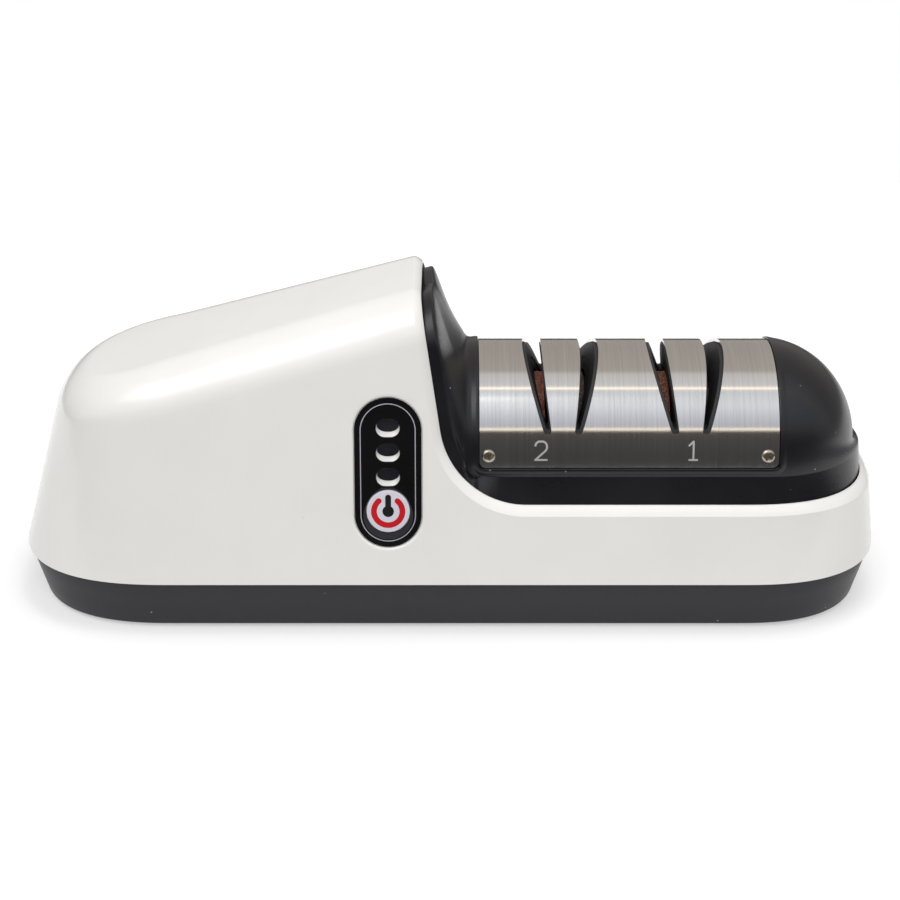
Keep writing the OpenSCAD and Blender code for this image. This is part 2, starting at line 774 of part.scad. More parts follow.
module motor_shaft() {
    color("lightgray") along_x(motor_x - motor_len - 5, motor_shaft_d, motor_len + 5 + shaft_x0 - motor_x - 0.6, 48);
}

bracket_t = 2.5;

motor_plate_r = motor_d / 2 + 1.15;
module motor_bracket() {
    color("#303034") difference() {
        union() {
            along_x(motor_x, 2 * motor_plate_r, bracket_t, 96);
            translate([motor_x, -motor_plate_r, foot_top])
                cube([bracket_t, 2 * motor_plate_r, axis_z - foot_top]);
            translate([motor_x, -foot_half - 2, foot_top]) cube([11, 2 * foot_half + 4, bracket_foot]);
            for (s = [-1, 1]) translate([motor_x + bracket_t - eps, s * 9 - 1, foot_top + bracket_foot - eps])
                rotate([90, 0, 0]) translate([0, 0, -2]) linear_extrude(2) polygon([[0, 0], [7, 0], [0, 14]]);
        }
        along_x(motor_x - 1, 10.4, bracket_t + 2, 64);
        for (s = [-1, 1]) translate([0, s * 8, 0]) along_x(motor_x - 1, 3, bracket_t + 2, 32);
        bracket_screw_holes();
    }
}

module motor_screws() {
    color("silver") for (s = [-1, 1]) translate([0, s * 8, 0]) {
        along_x(motor_x - 2.6, 2.4, bracket_t + 2.6 + eps, 24);
        along_x(motor_x + bracket_t, 4.6, 1.6, 32);
    }
}

module bracket_screws() {
    color("silver") for (p = bracket_spots) translate([p[0], p[1], foot_top + bracket_foot]) {
        cylinder(d = 4.6, h = 1.6, $fn = 32);
        translate([0, 0, -5.5]) cylinder(d = 1.8, h = 5.5 + eps, $fn = 24);
    }
}

// ---- Controls -----------------------------------------------------------------------------
film_z = -pocket_depth;
button_flange_z = -wall - 1.4;
switch_top = -5.9;
plunger_gap = 0.1;
plunger_in = 1.2;

module control_panel() {
    color("#101013") on_panel() difference() {
        translate([0, 0, film_z]) stadium_plate(panel_w, panel_h, film_t);
        at_windows() translate([0, 0, -4]) window_plate(window_w - 0.4, window_h - 0.4, 8);
        at_button() translate([0, 0, -4]) cylinder(d = button_d + 2 * fit, h = 8, $fn = 64);
    }
}

module power_button() {
    color("gainsboro") on_panel() at_button() {
        translate([0, 0, button_flange_z]) cylinder(d = button_d, h = -button_flange_z, $fn = 64);
        translate([0, 0, button_flange_z]) cylinder(d = button_d + 1.2, h = 1, $fn = 64);
        translate([0, 0, switch_top + 1 + plunger_gap])
            cylinder(d = 4, h = button_flange_z - switch_top - 1 - plunger_gap + eps, $fn = 32);
    }
}

guide_low = window_up - 2 * window_pitch - window_h / 2 + fit;
module light_guide() {
    color("#4a4a4e") on_panel() {
        translate([-5, guide_low, -wall - 1.4]) cube([10, window_up + window_h / 2 + 1.5 - guide_low, 1]);
        at_windows() translate([0, 0, -wall - 1.4]) window_plate(window_w - 0.4, window_h - 0.4, 2);
        for (s = [-1, 1]) translate([s * 4 - 0.6, window_up - 5, board_z + board_t])
            cube([1.2, 4, -wall - 1.4 - board_z - board_t + eps]);
    }
}

module indicator_leds() {
    color("#d8f0d0") on_panel() at_windows() translate([0, 0, board_z + board_t]) {
        cylinder(d = 3, h = 3.4, $fn = 32);
        translate([0, 0, 3.4 - eps]) sphere(d = 3, $fn = 32);
    }
}

board_w = 18;
board_h = 46;
module control_board() {
    color("darkgreen") on_panel() difference() {
        translate([-board_w / 2, -board_h / 2, board_z]) cube([board_w, board_h, board_t]);
        for (p = board_posts) translate([p[0], p[1], board_z - 1]) cylinder(d = 2.2, h = 4, $fn = 24);
    }
}

module board_screws() {
    color("silver") on_panel() for (p = board_posts) translate([p[0], p[1], board_z]) {
        translate([0, 0, -1.4]) cylinder(d = 4, h = 1.4, $fn = 32);
        cylinder(d = 1.9, h = board_t + 5, $fn = 24);
    }
}

module tact_switch() {
    color("#222222") on_panel() at_button() difference() {
        translate([-3, -3, board_z + board_t]) cube([6, 6, switch_top - board_z - board_t]);
        translate([0, 0, switch_top - plunger_in - button_travel - fit]) cylinder(d = 3.8, h = 3, $fn = 32);
    }
}

module switch_plunger() {
    color("#dddddd") on_panel() at_button() translate([0, 0, switch_top - plunger_in])
        cylinder(d = 3.4, h = plunger_in + 1, $fn = 32);
}

// ---- Power --------------------------------------------------------------------------------
strap_x = cell_x + 20.5;
strap_w = 8;
strap_t = 1.4;
strap_screw_d = 2;
strap_foot = 1.6;
strap_screw_y = cell_d / 2 + 4.2;
charge_w = 18;
charge_len = 17.5;
charge_t = 1.2;
charge_y = body_depth / 2 - 5.5;
board_floor = socket_z - socket_h / 2 - charge_t;

module at_strap_screws() {
    for (s = [-1, 1]) translate([strap_x + strap_w / 2, s * strap_screw_y, floor_z - eps]) children();
}

module battery_cell() {
    color("#3f7fb5") translate([cell_x, 0, cell_z]) rotate([0, 90, 0]) {
        cylinder(d = cell_d, h = cell_len, $fn = 64);
        translate([0, 0, cell_len - eps]) cylinder(d = 5.6, h = 1, $fn = 32);
    }
}

module battery_strap() {
    r = cell_d / 2 + fit;
    color("#303034") difference() {
        union() {
            translate([strap_x, 0, cell_z]) rotate([0, 90, 0]) cylinder(r = r + strap_t, h = strap_w, $fn = 64);
            translate([strap_x, -r - strap_t, foot_top])
                cube([strap_w, 2 * (r + strap_t), cell_z - foot_top]);
            translate([strap_x, -strap_screw_y - 3.6, foot_top])
                cube([strap_w, 2 * strap_screw_y + 7.2, strap_foot]);
        }
        translate([strap_x - 1, 0, cell_z]) rotate([0, 90, 0]) cylinder(r = r, h = strap_w + 2, $fn = 64);
        translate([strap_x - 1, -r, floor_z - 5]) cube([strap_w + 2, 2 * r, cell_z - floor_z + 5]);
        at_strap_screws() cylinder(d = strap_screw_d + 0.6, h = 12, $fn = 24);
    }
}

module strap_screws() {
    color("silver") at_strap_screws() translate([0, 0, foot_top + strap_foot - floor_z + eps]) {
        cylinder(d = 4, h = 1.4, $fn = 32);
        translate([0, 0, -4]) cylinder(d = strap_screw_d - 0.2, h = 4 + eps, $fn = 24);
    }
}

module charge_socket() {
    y1 = body_depth / 2 - (socket_z - split_z) * lf - 0.6;
    color("silver") translate([socket_x, y1, socket_z]) rotate([90, 0, 0]) difference() {
        window_plate(socket_w, socket_h, socket_len);
        translate([0, 0, -1]) window_plate(socket_w - 0.8, socket_h - 0.8, socket_len);
    }
    color("black") translate([socket_x - 3.4, y1 - socket_len, socket_z - 0.35])
        cube([6.8, socket_len - 1, 0.7]);
}

module charge_board() {
    color("darkgreen") translate([socket_x - charge_w / 2, charge_y - charge_len, board_floor])
        cube([charge_w, charge_len, charge_t]);
}

upper_shell();
base_tray();
saddle_housing();
slot_cover();
blade_guide();
cover_screws();
grinding_shaft();
fine_wheel_left();
fine_wheel_right();
coarse_wheel_left();
coarse_wheel_right();
wheel_spacers();
shaft_clip();
shaft_coupling();
bearing_left();
bearing_right();
bearing_bracket_left();
bearing_bracket_right();
motor_can();
motor_end_cap();
motor_shaft();
motor_bracket();
motor_screws();
bracket_screws();
control_panel();
power_button();
light_guide();
indicator_leds();
control_board();
board_screws();
tact_switch();
switch_plunger();
battery_cell();
battery_strap();
strap_screws();
charge_socket();
charge_board();
rubber_feet();
case_screws();
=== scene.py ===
import math
import bpy
import bmesh
from mathutils import Matrix, Vector


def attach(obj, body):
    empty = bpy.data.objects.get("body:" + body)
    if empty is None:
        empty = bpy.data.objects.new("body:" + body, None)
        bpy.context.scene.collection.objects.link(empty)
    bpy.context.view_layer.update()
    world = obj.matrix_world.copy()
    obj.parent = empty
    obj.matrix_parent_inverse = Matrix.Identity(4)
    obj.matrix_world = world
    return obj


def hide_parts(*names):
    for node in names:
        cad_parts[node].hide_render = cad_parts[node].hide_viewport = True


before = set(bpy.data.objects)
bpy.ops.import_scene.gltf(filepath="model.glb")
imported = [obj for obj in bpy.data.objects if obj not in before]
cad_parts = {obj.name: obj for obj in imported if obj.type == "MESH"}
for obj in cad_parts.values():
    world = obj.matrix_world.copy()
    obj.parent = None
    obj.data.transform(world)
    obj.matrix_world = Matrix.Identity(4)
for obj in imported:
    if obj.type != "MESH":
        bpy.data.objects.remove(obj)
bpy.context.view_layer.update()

print("frame loaded:", len(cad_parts), "nodes")

mm = 0.001  # every size below is in millimetres, as in the part's source
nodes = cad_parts
mats = {}


def meshObject(name, verts, faces, smoothAngle=32, paint=()):
    mesh = bpy.data.meshes.new(name)
    mesh.from_pydata([(v[0] * mm, v[1] * mm, v[2] * mm) for v in verts], [], faces)
    joinAndTurnOut(mesh, 0.004)
    for finish in paint:
        mesh.materials.append(mats[finish])
    obj = bpy.data.objects.new(name, mesh)
    bpy.context.scene.collection.objects.link(obj)
    shadeByAngle(obj, smoothAngle)
    return obj


def joinAndTurnOut(mesh, dist):
    # joins points closer than dist and turns the faces outwards
    bm = bmesh.new()
    bm.from_mesh(mesh)
    bmesh.ops.remove_doubles(bm, verts=bm.verts, dist=dist * mm)
    bmesh.ops.recalc_face_normals(bm, faces=bm.faces)
    bm.to_mesh(mesh)
    bm.free()


def shadeByAngle(obj, angle):
    for p in obj.data.polygons:
        p.use_smooth = True
    if angle:
        obj.data.set_sharp_from_angle(angle=math.radians(angle))


def plainMesh(obj):
    return bpy.data.meshes.new_from_object(obj.evaluated_get(bpy.context.evaluated_depsgraph_get()))


def bake(obj):
    # turns an object's modifiers into plain mesh
    mesh = plainMesh(obj)
    obj.modifiers.clear()
    obj.data = mesh


def cutAway(obj, cutters, smoothAngle):
    for c in cutters:
        mod = obj.modifiers.new("cut", "BOOLEAN")
        mod.operation = "DIFFERENCE"
        mod.solver = "EXACT"
        mod.object = c
    bpy.context.view_layer.update()
    bake(obj)
    for c in cutters:
        bpy.data.objects.remove(c)
    shadeByAngle(obj, smoothAngle)


def softenEdges(obj, width, angle):
    mod = obj.modifiers.new("soft edges", "BEVEL")
    mod.width = width * mm
    mod.segments = 2
    mod.limit_method = "ANGLE"
    mod.angle_limit = math.radians(angle)


def thicken(obj, width, rimPaint=0):
    # gives a skin its wall, inwards, with the rim in another of its finishes where one is named
    mod = obj.modifiers.new("thickness", "SOLIDIFY")
    mod.thickness = width * mm
    mod.offset = -1
    mod.use_even_offset = False
    mod.material_offset_rim = rimPaint
    bake(obj)


def loftFaces(rows, cols, closed=False, flip=False):
    faces = []
    for r in range(rows - 1):
        for c in range(cols if closed else cols - 1):
            n = (c + 1) % cols
            f = (r * cols + c, r * cols + n, (r + 1) * cols + n, (r + 1) * cols + c)
            faces.append(tuple(reversed(f)) if flip else f)
    return faces


def loft(name, rings, **kw):
    # closed rings of equal length joined into one skin, with both ends closed
    n = len(rings[0])
    verts = [p for r in rings for p in r]
    faces = loftFaces(len(rings), n, closed=True)
    faces.append(tuple(range(n)))
    faces.append(tuple(range(len(verts) - n, len(verts))))
    return meshObject(name, verts, faces, **kw)


def lifted(outline, z, matrix):
    # a flat outline at height z of a frame
    return [tuple(matrix @ Vector((*p, z))) for p in outline]


def arc(centre, r, start, end, steps):
    angs = [start + (end - start) * i / steps for i in range(steps + 1)]
    return [(centre[0] + r * math.cos(a), centre[1] + r * math.sin(a)) for a in angs]


def turned(name, profile, steps, matrix, **kw):
    # a profile of (radius, height) turned about the frame's own z
    rings = [lifted(arc((0, 0), r, 0, 2 * math.pi, steps)[:-1], z, matrix) for r, z in profile]
    return loft(name, rings, **kw)


def flatPlate(name, outlines, z0, z1, matrix, edge, finish):
    # closed outlines filled as one flat plate, inner outlines left as holes
    curve = bpy.data.curves.new(name, "CURVE")
    curve.dimensions = "2D"
    curve.fill_mode = "BOTH"
    curve.extrude = ((z1 - z0) / 2 - edge) * mm
    curve.bevel_depth = edge * mm
    curve.bevel_resolution = 2
    curve.offset = -edge * mm
    for pts in outlines:
        line = curve.splines.new("POLY")
        line.points.add(len(pts) - 1)
        for i, p in enumerate(pts):
            line.points[i].co = (p[0] * mm, p[1] * mm, 0, 1)
        line.use_cyclic_u = True
    temp = bpy.data.objects.new(name, curve)
    bpy.context.scene.collection.objects.link(temp)
    bpy.context.view_layer.update()
    mesh = plainMesh(temp)
    bpy.data.objects.remove(temp)
    place = matrix.copy()
    place.translation = place.translation * mm
    mesh.transform(place @ Matrix.Translation((0, 0, (z0 + z1) / 2 * mm)))
    joinAndTurnOut(mesh, 0.002)
    mesh.materials.clear()
    mesh.materials.append(mats[finish])
    for p in mesh.polygons:
        p.use_smooth = False
    obj = bpy.data.objects.new(name, mesh)
    bpy.context.scene.collection.objects.link(obj)
    return obj


def roundEnded(w, h, dx=0, dy=0, steps=48):
    # outline of a stadium, standing when h > w and lying when w > h
    r = min(w, h) / 2
    sx, sy = w / 2 - r, h / 2 - r
    out = []
    for i in range(steps):
        a = 2 * math.pi * (i + 0.5) / steps
        c, s = math.cos(a), math.sin(a)
        out.append((dx + r * c + math.copysign(sx, c), dy + r * s + math.copysign(sy, s)))
    return out


def ellipse(w, h, dy, steps=64):
    angs = [2 * math.pi * (i + 0.5) / steps for i in range(steps)]
    return [(w / 2 * math.cos(a), dy + h / 2 * math.sin(a)) for a in angs]


def newMaterial(name):
    mat = bpy.data.materials.new(name)
    mat.use_nodes = True
    mats[name] = mat
    return mat.node_tree, mat.node_tree.nodes["Principled BSDF"]


def feed(node, **values):
    # links what is a socket and sets what is a value; a name has _ for each space
    for key, value in values.items():
        name = key.replace("_", " ")
        if name not in node.inputs:
            setattr(node, key, value)
        elif isinstance(value, bpy.types.NodeSocket):
            node.id_data.links.new(value, node.inputs[name])
        else:
            node.inputs[name].default_value = value
    return node


def addNode(tree, kind, **values):
    return feed(tree.nodes.new(kind), **values)


def mathNode(tree, operation, *values):
    node = addNode(tree, "ShaderNodeMath", operation=operation)
    for socket, value in zip(node.inputs, values):
        if isinstance(value, bpy.types.NodeSocket):
            tree.links.new(value, socket)
        else:
            socket.default_value = value
    return node.outputs[0]


def remap(tree, value, fromMin, fromMax, toMin, toMax):
    node = addNode(tree, "ShaderNodeMapRange", Value=value, From_Min=fromMin, From_Max=fromMax,
                   To_Min=toMin, To_Max=toMax)
    return node.outputs["Result"]


def relief(tree, height, strength, depth):
    node = addNode(tree, "ShaderNodeBump", Height=height, Strength=strength, Distance=depth * mm)
    return node.outputs["Normal"]


def blend(tree, share, a, b):
    return addNode(tree, "ShaderNodeMix", data_type="RGBA", Factor=share, A=a, B=b).outputs["Result"]


def ramp(tree, fac, stops):
    node = addNode(tree, "ShaderNodeValToRGB", Fac=fac)
    marks = node.color_ramp.elements
    while len(marks) < len(stops):
        marks.new(0.5)
    for mark, (place, colour) in zip(marks, stops):
        mark.position = place
        mark.color = (*colour, 1)
    return node.outputs["Color"]


def newGroup(name, inputs, outputs):
    group = bpy.data.node_groups.new(name, "ShaderNodeTree")
    for label, value in inputs:
        socket = group.interface.new_socket(name=label, in_out="INPUT", socket_type="NodeSocketFloat")
        socket.default_value = value
    for label in outputs:
        group.interface.new_socket(name=label, in_out="OUTPUT", socket_type="NodeSocketFloat")
    return group, group.nodes.new("NodeGroupInput").outputs, group.nodes.new("NodeGroupOutput")


def makeGrainGroup():
    # moulded plastic grain: an even fine roughness in the surface
    group, given, out = newGroup("moulded grain", [("Scale", 900.0), ("Detail", 3.0)],
                                 ["Height", "Variation"])
    where = addNode(group, "ShaderNodeTexCoord").outputs["Object"]
    fine = addNode(group, "ShaderNodeTexNoise", Vector=where, Scale=given["Scale"], Detail=given["Detail"],
                   Roughness=0.55)
    wide = addNode(group, "ShaderNodeTexNoise", Vector=where, Scale=38.0, Detail=4.0, Roughness=0.6)
    feed(out, Height=fine.outputs["Fac"], Variation=wide.outputs["Fac"])
    return group


def makeDustGroup():
    # small light specks lying about on a surface
    group, given, out = newGroup("dust specks", [("Scale", 420.0), ("Size", 0.10), ("Cover", 0.45)], ["Mask"])
    where = addNode(group, "ShaderNodeTexCoord").outputs["Object"]
    cells = addNode(group, "ShaderNodeTexVoronoi", Vector=where, Scale=given["Scale"]).outputs
    dots = mathNode(group, "LESS_THAN", cells["Distance"], given["Size"])
    pick = addNode(group, "ShaderNodeSeparateColor", Color=cells["Color"])
    some = mathNode(group, "LESS_THAN", pick.outputs["Red"], given["Cover"])
    feed(out, Mask=mathNode(group, "MULTIPLY", dots, some))
    return group


grainGroup = makeGrainGroup()
dustGroup = makeDustGroup()


def plastic(name, low, high, roughLow, roughHigh, grainScale=900.0, bump=0.1, bumpDistance=0.02,
            dust=0.0, dustColour=(0.4, 0.4, 0.42), dustScale=420.0, dustSize=0.1,
            coat=0.0, coatRough=0.1, ior=1.5):
    tree, bsdf = newMaterial(name)
    grain = addNode(tree, "ShaderNodeGroup", node_tree=grainGroup, Scale=grainScale).outputs
    colour = ramp(tree, grain["Variation"], [(0.3, low), (0.7, high)])
    if dust:
        specks = addNode(tree, "ShaderNodeGroup", node_tree=dustGroup, Scale=dustScale, Size=dustSize,
                         Cover=dust)
        colour = blend(tree, specks.outputs["Mask"], colour, (*dustColour, 1))
    feed(bsdf, Base_Color=colour, Roughness=remap(tree, grain["Variation"], 0.3, 0.7, roughLow, roughHigh),
         Normal=relief(tree, grain["Height"], bump, bumpDistance),
         Coat_Weight=coat, Coat_Roughness=coatRough, IOR=ior)


def metal(name, low, high, roughLow, roughHigh, grainScale=600.0, bump=0.1):
    tree, bsdf = newMaterial(name)
    grain = addNode(tree, "ShaderNodeGroup", node_tree=grainGroup, Scale=grainScale).outputs
    feed(bsdf, Base_Color=ramp(tree, grain["Height"], [(0.3, low), (0.7, high)]), Metallic=1.0,
         Roughness=remap(tree, grain["Variation"], 0.0, 1.0, roughLow, roughHigh),
         Normal=relief(tree, grain["Height"], bump, 0.02))


def brushedSteel():
    # fine, faint brushing that runs up and over the cover
    tree, bsdf = newMaterial("brushed steel")
    where = addNode(tree, "ShaderNodeTexCoord").outputs["Object"]
    layers = []
    for scale, detail in (((6500, 55, 55), 2.0), ((2100, 22, 22), 3.0), ((240, 9, 9), 3.0)):
        stretch = addNode(tree, "ShaderNodeMapping", Vector=where, Scale=scale).outputs["Vector"]
        noise = addNode(tree, "ShaderNodeTexNoise", Vector=stretch, Scale=1.0, Detail=detail, Roughness=0.6)
        layers.append(noise.outputs["Fac"])
    fine, wide, clouds = layers
    streaks = mathNode(tree, "MULTIPLY_ADD", mathNode(tree, "ADD", fine, wide), 0.4,
                       mathNode(tree, "MULTIPLY", clouds, 0.2))
    around = addNode(tree, "ShaderNodeTangent", direction_type="RADIAL", axis="X").outputs["Tangent"]
    feed(bsdf, Base_Color=ramp(tree, streaks, [(0.34, (0.56, 0.545, 0.525)), (0.66, (0.66, 0.65, 0.635))]),
         Roughness=remap(tree, wide, 0.3, 0.7, 0.15, 0.18), Normal=relief(tree, fine, 0.08, 0.005),
         Tangent=around, Metallic=1.0, Anisotropic=0.85, Anisotropic_Rotation=0.25)


def abrasive(name, dark, light, spark):
    # bonded grit: small crystals of mixed brightness with a rough surface
    tree, bsdf = newMaterial(name)
    where = addNode(tree, "ShaderNodeTexCoord").outputs["Object"]
    grit = addNode(tree, "ShaderNodeTexVoronoi", Vector=where, Scale=3600.0).outputs
    pick = addNode(tree, "ShaderNodeSeparateColor", Color=grit["Color"])
    feed(bsdf, Base_Color=ramp(tree, pick.outputs["Red"], [(0.0, dark), (0.8, light), (1.0, spark)]),
         Roughness=0.82, Normal=relief(tree, grit["Distance"], 0.8, 0.12))


plastic("white shell", (0.715, 0.705, 0.68), (0.745, 0.735, 0.715), 0.20, 0.27, 700, 0.05, 0.02,
        dust=0.05, dustColour=(0.35, 0.33, 0.3), dustScale=170, dustSize=0.035, coat=0.35, coatRough=0.08)
plastic("black base", (0.016, 0.016, 0.019), (0.022, 0.022, 0.026), 0.40, 0.52, 1500, 0.35, 0.05,
        dust=0.16, dustColour=(0.30, 0.29, 0.28), dustScale=260, dustSize=0.05, ior=1.42)
plastic("black saddle", (0.0055, 0.0055, 0.0075), (0.008, 0.008, 0.0105), 0.26, 0.34, 1500, 0.22, 0.04,
        dust=0.22, dustColour=(0.25, 0.27, 0.32), dustScale=330, dustSize=0.06, ior=1.47)
plastic("black inner plastic", (0.010, 0.010, 0.012), (0.020, 0.020, 0.022), 0.5, 0.65, 1200, 0.3, 0.05)
plastic("panel gloss", (0.003, 0.003, 0.0035), (0.0045, 0.0045, 0.005), 0.16, 0.24, 500, 0.03, 0.01,
        dust=0.1, dustColour=(0.30, 0.30, 0.34), dustScale=300, dustSize=0.05, ior=1.38)
plastic("panel line", (0.30, 0.28, 0.33), (0.40, 0.38, 0.43), 0.3, 0.4, 900)
plastic("button surround", (0.016, 0.016, 0.020), (0.022, 0.022, 0.027), 0.35, 0.45, 900, ior=1.4)
plastic("button face", (0.55, 0.53, 0.60), (0.60, 0.58, 0.64), 0.34, 0.42, 900, 0.08, 0.02)
plastic("red print", (0.42, 0.004, 0.010), (0.49, 0.006, 0.014), 0.5, 0.6, 900, ior=1.3)
plastic("black print", (0.004, 0.004, 0.005), (0.007, 0.007, 0.008), 0.4, 0.5, 900, ior=1.35)
plastic("smoked lens", (0.005, 0.005, 0.008), (0.016, 0.016, 0.022), 0.2, 0.35, 1400, 0.4, 0.06, ior=1.4)
plastic("cream plastic", (0.58, 0.55, 0.47), (0.64, 0.61, 0.52), 0.4, 0.5, 900)
plastic("cell wrap", (0.03, 0.12, 0.26), (0.04, 0.15, 0.31), 0.28, 0.36, 900)
plastic("board green", (0.008, 0.075, 0.030), (0.014, 0.11, 0.045), 0.35, 0.5, 2400, 0.2, 0.03)
plastic("led body", (0.50, 0.62, 0.50), (0.60, 0.70, 0.58), 0.12, 0.2, 900)
plastic("foot rubber", (0.012, 0.012, 0.013), (0.022, 0.022, 0.023), 0.7, 0.85, 1800, 0.5, 0.08)
plastic("etched mark", (0.32, 0.31, 0.295), (0.40, 0.385, 0.37), 0.5, 0.62, 2600, 0.3, 0.03)
metal("bright edge", (0.72, 0.70, 0.67), (0.92, 0.90, 0.87), 0.16, 0.28)
metal("screw steel", (0.42, 0.375, 0.30), (0.60, 0.54, 0.45), 0.2, 0.34, 900, 0.2)
metal("bright steel", (0.60, 0.60, 0.60), (0.78, 0.78, 0.77), 0.14, 0.26)
metal("plain steel", (0.40, 0.40, 0.40), (0.56, 0.56, 0.56), 0.32, 0.46)
abrasive("brown abrasive", (0.08, 0.028, 0.018), (0.30, 0.11, 0.07), (0.50, 0.26, 0.18))
# the right wheels' grit is the brown grit darkened, painted shade for the shade inside the right-hand slots
abrasive("abrasive in painted shade", (0.022, 0.016, 0.014), (0.075, 0.05, 0.04), (0.19, 0.14, 0.12))
brushedSteel()
print("materials made:", len(mats))


# the same values as in the part's source, with a few read closer from the outline, in mm and degrees
case = dict(length=215.0, depth=70.0, split=13.2, wall=2.2, leftEnd=40.0, rightEnd=37.0, power=2.5,
            leanFront=12.0, leanLeft=15.8, leanRight=6.8, roofTop=81.0, roofTilt=15.8, roofRound=10.5,
            leftRound=6.8, rim=31.8, edgeX=-2.4, edgeTilt=8.8, edgeR=21.0, edgeMid=50.0, edgeRound=1.9)


def tanDeg(a):
    return math.tan(math.radians(a))


frontLean, leftLean, rightLean = (tanDeg(case[k]) for k in ("leanFront", "leanLeft", "leanRight"))
roofSlope, edgeSlope = tanDeg(case["roofTilt"]), tanDeg(case["edgeTilt"])
leftCx = -case["length"] / 2 + case["leftEnd"]
rightCx = case["length"] / 2 - case["rightEnd"]
roofX = case["edgeX"] - edgeSlope * (case["roofTop"] - case["edgeMid"])


def squared(c):
    return math.copysign(abs(c) ** (2 / case["power"]), c) if abs(c) > 1e-9 else 0.0


def ringPoint(q, z, side, half, left, right):
    # q runs from the left tip, 0, along the flat side, 1 to 2, to the right tip, 3
    if q < 1:
        a = math.radians(90 * q)
        return leftCx - left * squared(math.cos(a)), side * half * squared(math.sin(a)), z
    if q < 2:
        return leftCx + (rightCx - leftCx) * (q - 1), side * half, z
    a = math.radians(90 * (q - 2))
    return rightCx + right * squared(math.sin(a)), side * half * squared(math.cos(a)), z


def wallPoint(q, z, inset, side):
    h = z - case["split"]
    return Vector(ringPoint(q, z, side, case["depth"] / 2 - inset - h * frontLean,
                            case["leftEnd"] - inset - h * leftLean, case["rightEnd"] - inset - h * rightLean))


def roofHeight(x, inset):
    return case["roofTop"] - inset / math.cos(math.radians(case["roofTilt"])) + roofSlope * (x - roofX)


def skinAnchors(q, inset, side, front=None):
    foot = wallPoint(q, 0, inset, -1).x
    run = wallPoint(q, 1, inset, -1).x - foot
    zc = roofHeight(foot, inset) / (1 - roofSlope * run)
    corner = wallPoint(q, zc, inset, side)
    down = (wallPoint(q, zc - 1, inset, side) - corner).normalized()
    midX = leftCx if q < 1 else corner.x if q < 2 else rightCx
    middle = Vector((midX, 0, roofHeight(midX, inset)))
    reach = case["leftRound"] + ((front or case["roofRound"]) - case["leftRound"]) * min(q, 1) - inset * 0.8
    span = middle - corner
    return corner, corner + reach * down, corner + min(reach, 0.95 * span.length) * span.normalized(), middle


cornerWeight = math.cos(math.radians((90 - case["leanFront"]) / 2))


def skinPoint(q, t, inset, side, front=None):
    corner, a, b, middle = skinAnchors(q, inset, side, front)
    if t <= 1:
        return wallPoint(q, case["split"], inset, side).lerp(a, t)
    if t < 2:
        u = t - 1
        k0, k1, k2 = (1 - u) ** 2, 2 * cornerWeight * u * (1 - u), u * u
        return (k0 * a + k1 * corner + k2 * b) / (k0 + k1 + k2)
    return b.lerp(middle, t - 2)


def placeAt(x):
    return 1 + (x - leftCx) / (rightCx - leftCx)


def wallT(q, z, inset):
    return (z - case["split"]) / (skinAnchors(q, inset, -1)[1].z - case["split"])


def edgeQ(t, grow, inset):
    # where the leaning edge of the opening, moved out by grow, meets the line t
    off = grow / math.cos(math.radians(case["edgeTilt"]))
    lo, hi = leftCx + 20, 25.0
    for _ in range(34):
        x = (lo + hi) / 2
        z = skinPoint(placeAt(x), t, inset, -1).z
        if x < case["edgeX"] - edgeSlope * (z - case["edgeMid"]) - off:
            lo = x
        else:
            hi = x
    return placeAt((lo + hi) / 2)


def between(a, b, s):
    return a[0] + (b[0] - a[0]) * s, a[1] + (b[1] - a[1]) * s


